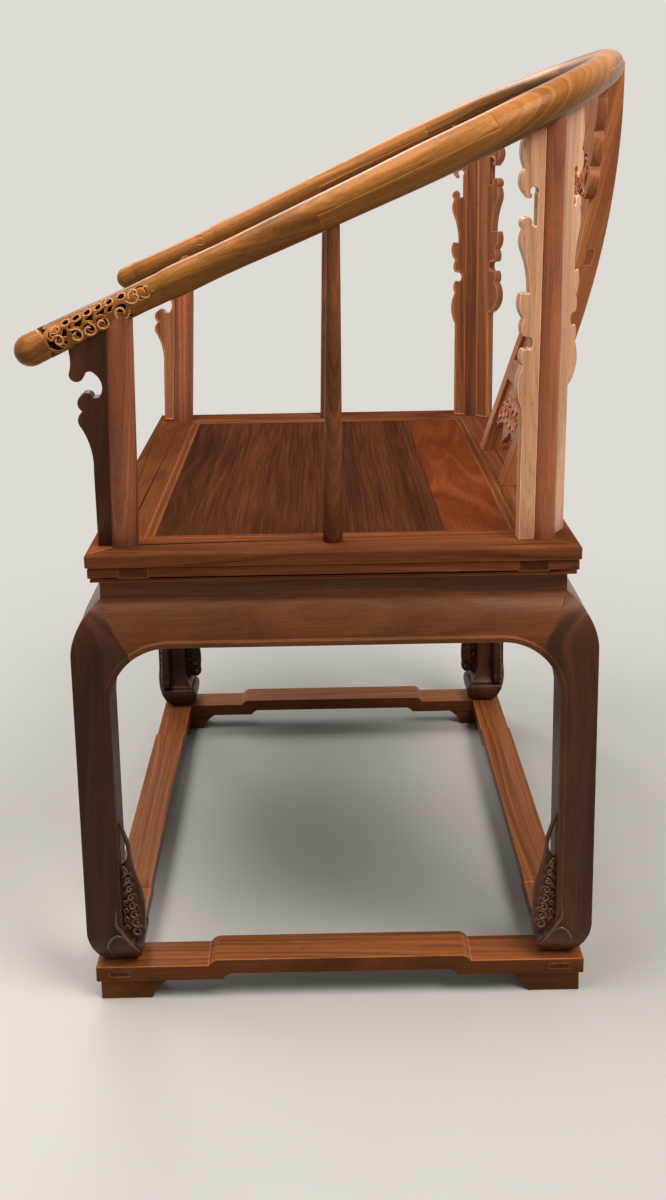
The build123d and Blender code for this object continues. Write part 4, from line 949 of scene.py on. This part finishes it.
@dataclass
class Legs:
    """Four legs that run from hoof to hand rail, with a leaf scroll and pierced wings at each hoof.

    The carvings are in millimetres. The leaf and its lobe hold places inwards from the leg's corner
    and above the sole, with the strand's radius.
    """

    bench: Bench
    rounding: float = 0.0008
    slot: str = "frame_wood"
    face_x: float = 0.331
    face_y: float = 0.266
    sole: float = 0.0405
    hoof_height: float = 45.0
    heel_reach: float = 19.0
    proud: float = 0.6
    leaf: tuple[Triple, ...] = (
        (33, 74, 0.6), (32, 64, 1.1), (31, 55, 1.7), (36, 48, 2.1),
        (43, 36, 2.1), (49, 26, 1.8), (54, 19, 0.9),
    )
    lobe: tuple[Triple, ...] = (
        (43, 36, 0.8), (36, 42, 1.5), (28, 41, 1.7), (22, 32, 1.5), (21, 22, 0.9), (25, 15, 0.5),
    )
    wing_curls: int = 8
    wing_low: float = 43.0
    wing_set_back: float = 4.7
    curl_pitch: float = 9.9
    curl_reach: float = 6.0
    curl_taper: float = 0.4
    outer_eye: float = 53.5
    outer_lean: float = 1.4
    inner_eye: float = 42.8
    inner_lean: float = 0.2

    def build(self) -> None:
        """Ease and wax the legs, each from its own part of the log, and carve their hooves."""
        for end, wood, log_x in zip(ENDS, (LEGS, REAR_LEGS), (0.27, 0.31)):
            for side, log_z in zip(SIDES, (0.2, 1.3)):
                place = (log_x, 0.05, log_z)
                cut = Cut(wood, Grain.UPRIGHT, place)
                self.bench.plain((f"{end}_leg_{side}",), cut, self.rounding, self.slot)
                self.hoof_carving(end, side, Cut(HOOF_SCROLLS, Grain.UPRIGHT, place))

    def hoof_carving(self, end: str, side: str, cut: Cut) -> None:
        """Lay a leaf scroll over both outer faces of a hoof, and curls over its pierced wings.

        Args:
            end: front or rear.
            side: left or right.
            cut: what the strands are cut from.
        """
        carver = Carver(self.bench, f"hoof_scrolls_{end}_{side}", cut, self.slot)
        corner = (OUT[side], 1.0 if end == "rear" else -1.0)
        for sideways in (True, False):
            face = partial(self.on_hoof, corner, sideways)
            for line in (self.leaf, self.lobe):
                points = [face(inward, rise, -self.proud) for inward, rise, _ in line]
                carver.strand(points, [thick for _, _, thick in line])
            wing = partial(face, behind=self.wing_set_back)
            for i in range(self.wing_curls):
                low = self.wing_low + self.curl_pitch * i
                reach = self.curl_reach - self.curl_taper * i
                outer = (self.outer_eye - self.outer_lean * i, low)
                inner = (self.inner_eye - self.inner_lean * i, low + self.curl_pitch / 2)
                carver.curl(wing, Curl(60, 390, reach, end=0.3 * reach, thick=1.5, eye=outer))
                carver.curl(wing, Curl(240, -330, 0.6 * reach, end=0.25 * reach, thick=1.1, eye=inner))
        carver.finish()

    def on_hoof(
        self, corner: tuple[float, float], sideways: bool, inward: float, rise: float, behind: float
    ) -> Vector:
        """Find a point on an outer face of a hoof, from distances in millimetres.

        Args:
            corner: which way along X and Y the leg's corner lies.
            sideways: whether the face looks sideways, not to the front or back.
            inward: distance from the corner along the face.
            rise: height above the floor frame.
            behind: distance behind the face.

        Returns:
            The point in space.
        """
        curve = max(0.0, 1.0 - rise / self.hoof_height)  # the face curves in towards the sole
        depth = self.heel_reach * curve**2 + behind
        x, y = (depth, inward) if sideways else (inward, depth)
        return Vector((
            corner[0] * (self.face_x - x / METRE),
            corner[1] * (self.face_y - y / METRE) + SEAT_SHIFT,
            self.sole + rise / METRE,
        ))


@dataclass
class SeatFrame:
    """Mitred seat frame with its two boards, braces, waist and aprons."""

    bench: Bench
    frame_rounding: float = 0.0009
    waist_rounding: float = 0.0005
    board_rounding: float = 0.0004

    def build(self) -> None:
        """Ease and wax everything between the legs and the seat."""
        wide, small, least = self.frame_rounding, self.waist_rounding, self.board_rounding
        frame, panel = "frame_wood", "panel_wood"
        rails, side_rails = ("seat_rail_front", "seat_rail_rear"), ("seat_rail_left", "seat_rail_right")
        braces = ("seat_brace_left", "seat_brace_right")
        for names, wood, grain, place, width, slot in (
            (rails, SEAT_FRAME, Grain.ACROSS, (0.09, 0.28, 0.7), wide, frame),
            (side_rails, SEAT_FRAME, Grain.DEEP, (0.26, 0.05, 0.1), wide, frame),
            (("seat_board_front",), FRONT_BOARD, Grain.ACROSS, (0.05, 0.30, 0.0), least, panel),
            (("seat_board_rear",), REAR_BOARD, Grain.ACROSS, (-0.36, 0.03, 0.0), least, panel),
            (braces, LEGS, Grain.DEEP, (0.2, 0.02, 0.0), wide, frame),
            (("waist_front", "waist_rear"), LEGS, Grain.ACROSS, (0.02, 0.29, 0.4), small, frame),
            (("waist_left", "waist_right"), LEGS, Grain.DEEP, (0.22, 0.09, 0.5), small, frame),
            (("apron_front", "apron_rear"), APRONS, Grain.ACROSS, (0.05, 0.26, 0.1), wide, frame),
            (("apron_left", "apron_right"), APRONS, Grain.DEEP, (0.25, 0.07, 0.2), wide, frame),
        ):
            self.bench.plain(names, Cut(wood, grain, place), width, slot)


@dataclass
class FloorFrame:
    """Mitred floor frame on four bracket feet."""

    bench: Bench
    rounding: float = 0.0009
    step_from: float = 0.080
    step_to: float = 0.150
    draw_out: float = 0.017

    def build(self) -> None:
        """Ease and wax the floor frame."""
        rails = ("base_rail_front", "base_rail_rear")
        self.bench.plain(rails, Cut(FLOOR_FRAME, Grain.ACROSS, (0.03, 0.28, 0.3)), self.rounding)
        for side in SIDES:
            self.side_rail(f"base_rail_{side}")
        feet = tuple(f"base_foot_{end}_{side}" for end in ENDS for side in SIDES)
        self.bench.plain(feet, Cut(FLOOR_FRAME, Grain.DEEP, (0.21, 0.04, 0.9)), self.rounding)

    def side_rail(self, name: str) -> None:
        """Draw out the hump of a side rail, so that it starts nearer to the corners.

        Args:
            name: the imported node.
        """
        piece = self.bench.take(name)
        for way in (-1.0, 1.0):
            deselect("VERT")
            for vertex in piece.data.vertices:
                along = (vertex.co.y - SEAT_SHIFT) * way
                vertex.select = self.step_from < along < self.step_to
            bpy.ops.object.mode_set(mode="EDIT")
            bpy.ops.transform.translate(value=(0.0, way * self.draw_out, 0.0))
            bpy.ops.object.mode_set(mode="OBJECT")
        self.bench.ease(piece, self.rounding)
        self.bench.wax(piece, name, Cut(FLOOR_FRAME, Grain.DEEP, (0.26, 0.04, 0.6)), "frame_wood")


@dataclass
class ArmSupports:
    """Bowed stiles, and scalloped boards beside the posts with a bead along their inner faces."""

    bench: Bench
    rounding: float = 0.0008
    bead: float = 0.0016
    sunk: float = 0.0009
    # Left boards are painted copies: the front darkened as painted shade, the rear and inner lightened as a
    # painted sheen; the right ones are plain wood.
    woods: tuple[tuple[Rosewood, ...], ...] = (
        (PAINTED_SHADE_BOARDS, PAINTED_SHEEN_BOARDS, PAINTED_SHEEN_BOARDS), (POSTS, BOARDS, BOARDS),
    )

    def build(self) -> None:
        """Carve, ease and wax the arm supports."""
        stile_cut = Cut(STILES, Grain.UPRIGHT, (0.26, 0.03, 0.5))
        for side, woods, log_z in zip(SIDES, self.woods, (0.8, 0.1)):
            self.bench.plain((f"arm_stile_{side}",), stile_cut, self.rounding)
            for kind, wood in zip(("front", "rear", "inner"), woods):
                cut = Cut(wood, Grain.UPRIGHT, (0.25, 0.11, log_z))
                self.board(f"{kind}_spandrel_{side}", OUT[side], cut)

    def board(self, name: str, out: float, cut: Cut) -> None:
        """Carve one scalloped board.

        Args:
            name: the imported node.
            out: which way along X is outwards.
            cut: what the board is cut from.
        """
        piece = self.bench.take(name, whole_faces=True)
        broad = max(piece.data.polygons, key=lambda polygon: polygon.area).normal.copy()
        inward = broad if broad.x * out < 0 else -broad
        self.bench.sink_field(piece, inward, self.bead, self.sunk)
        self.bench.ease(piece, self.rounding)
        self.bench.wax(piece, name, cut, "frame_wood")


@dataclass
class Splat:
    """Curved back splat in three tiers, framed, with two scalloped brackets."""

    bench: Bench
    rounding: float = 0.0006

    def build(self) -> None:
        """Ease and wax the splat."""
        panels = ("splat_panel_top", "splat_panel_middle", "splat_apron")
        brackets = ("splat_bracket_left", "splat_bracket_right")
        for names, grain, place, slot in (
            (("splat_stile_left", "splat_stile_right"), Grain.SPLAT, (0.25, 0.09, 0.0), "frame_wood"),
            (("splat_rail_lower", "splat_rail_middle"), Grain.ACROSS, (0.05, 0.25, 0.0), "frame_wood"),
            (panels, Grain.SPLAT, (0.1, 0.27, 0.4), "panel_wood"),
            (brackets, Grain.SPLAT, (0.21, 0.1, 0.7), "frame_wood"),
        ):
            self.bench.plain(names, Cut(SPLAT_WOOD, grain, place), self.rounding, slot)


@dataclass
class Studio:
    """Floor, lamps with their places, sizes and watts, sky and camera."""

    eye: Triple = (1.4794, -0.0110 + SEAT_SHIFT, 0.9025)
    yaw: float = 0.00313
    pitch: float = 0.1910
    roll: float = -0.01741
    focal_px: float = 1218.45
    centre_px: tuple[float, float] = (322.8, 374.0)
    sensor_mm: float = 36.0
    floor_size: float = 60.0
    lamp_colour: Triple = (1.0, 0.97, 0.93)
    lamps: tuple[tuple[str, Triple, float, float], ...] = (
        ("key", (1.1, 0.9, 2.1), 1.0, 34.0),
        ("top", (0.4, -0.7, 2.5), 1.4, 38.0),
        ("back", (-1.8, -0.6, 2.2), 1.4, 26.0),
    )
    lit_point: Triple = (0.0, 0.0, 0.5)
    sky: str = "#e9e7e2"
    sky_strength: float = 0.30
    backdrop: str = "#dedad4"

    def build(self) -> None:
        """Set up the stage."""
        self.lay_floor()
        self.hang_lamps()
        self.set_camera()
        bpy.context.scene.view_settings.view_transform = "Standard"

    def lay_floor(self) -> None:
        """A pale matt floor, wide enough to be lost in the backdrop."""
        clear_selection()
        bpy.ops.mesh.primitive_plane_add(size=self.floor_size, location=(0, 0, 0))
        floor = bpy.context.object
        floor.name = "studio_floor"
        floor.data.materials.append(FloorPaint().build())

    def hang_lamps(self) -> None:
        """An even sky, one large soft key above, a broad fill and a lamp behind."""
        world = bpy.data.worlds.new("studio_sky")
        bpy.context.scene.world = world
        tree = empty_tree(world)
        light = add_node(tree, "Background", {"Color": linear(self.sky), "Strength": self.sky_strength})
        seen = add_node(tree, "Background", {"Color": linear(self.backdrop), "Strength": 1.0})
        mixed = add_node(
            tree, "MixShader", links={0: backdrop_rays(tree), 1: light.outputs[0], 2: seen.outputs[0]}
        )
        add_node(tree, "OutputWorld", links={"Surface": mixed.outputs[0]})
        for name, place, size, watts in self.lamps:
            lamp = bpy.data.lights.new(name, "AREA")
            lamp.size = size
            lamp.energy = watts
            lamp.color = self.lamp_colour
            stand = bpy.data.objects.new(name, lamp)
            bpy.context.collection.objects.link(stand)
            stand.location = place
            aim = Vector(self.lit_point) - Vector(place)
            stand.rotation_euler = aim.to_track_quat("-Z", "Y").to_euler()

    def set_camera(self) -> None:
        """Stand the camera at the chair's left side, looking slightly down."""
        level_run, fall = math.cos(self.pitch), math.sin(self.pitch)
        ahead = Vector((-math.cos(self.yaw) * level_run, math.sin(self.yaw) * level_run, -fall))
        level = Vector((math.sin(self.yaw), math.cos(self.yaw), 0.0))
        above = level.cross(ahead)
        right = math.cos(self.roll) * level + math.sin(self.roll) * above
        up = -math.sin(self.roll) * level + math.cos(self.roll) * above
        lens = bpy.data.cameras.new("camera")
        lens.sensor_width = self.sensor_mm
        lens.lens = self.sensor_mm * self.focal_px / FRAME_HEIGHT
        lens.shift_x = (FRAME_WIDTH / 2 - self.centre_px[0]) / FRAME_HEIGHT
        lens.shift_y = -(FRAME_HEIGHT / 2 - self.centre_px[1]) / FRAME_HEIGHT
        camera = bpy.data.objects.new("camera", lens)
        bpy.context.collection.objects.link(camera)
        turn = Matrix((right, up, -ahead)).transposed().to_4x4()
        camera.matrix_world = Matrix.Translation(self.eye) @ turn
        bpy.context.scene.camera = camera


def main() -> None:
    """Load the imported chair, work its timbers over and set the stage."""
    logging.basicConfig(level=logging.INFO, format="%(message)s")
    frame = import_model()
    bench = Bench(frame["nodes"])
    for assembly in (HandRail, Legs, SeatFrame, FloorFrame, ArmSupports, Splat):
        assembly(bench).build()
    Studio().build()


if __name__ == "__main__":
    main()
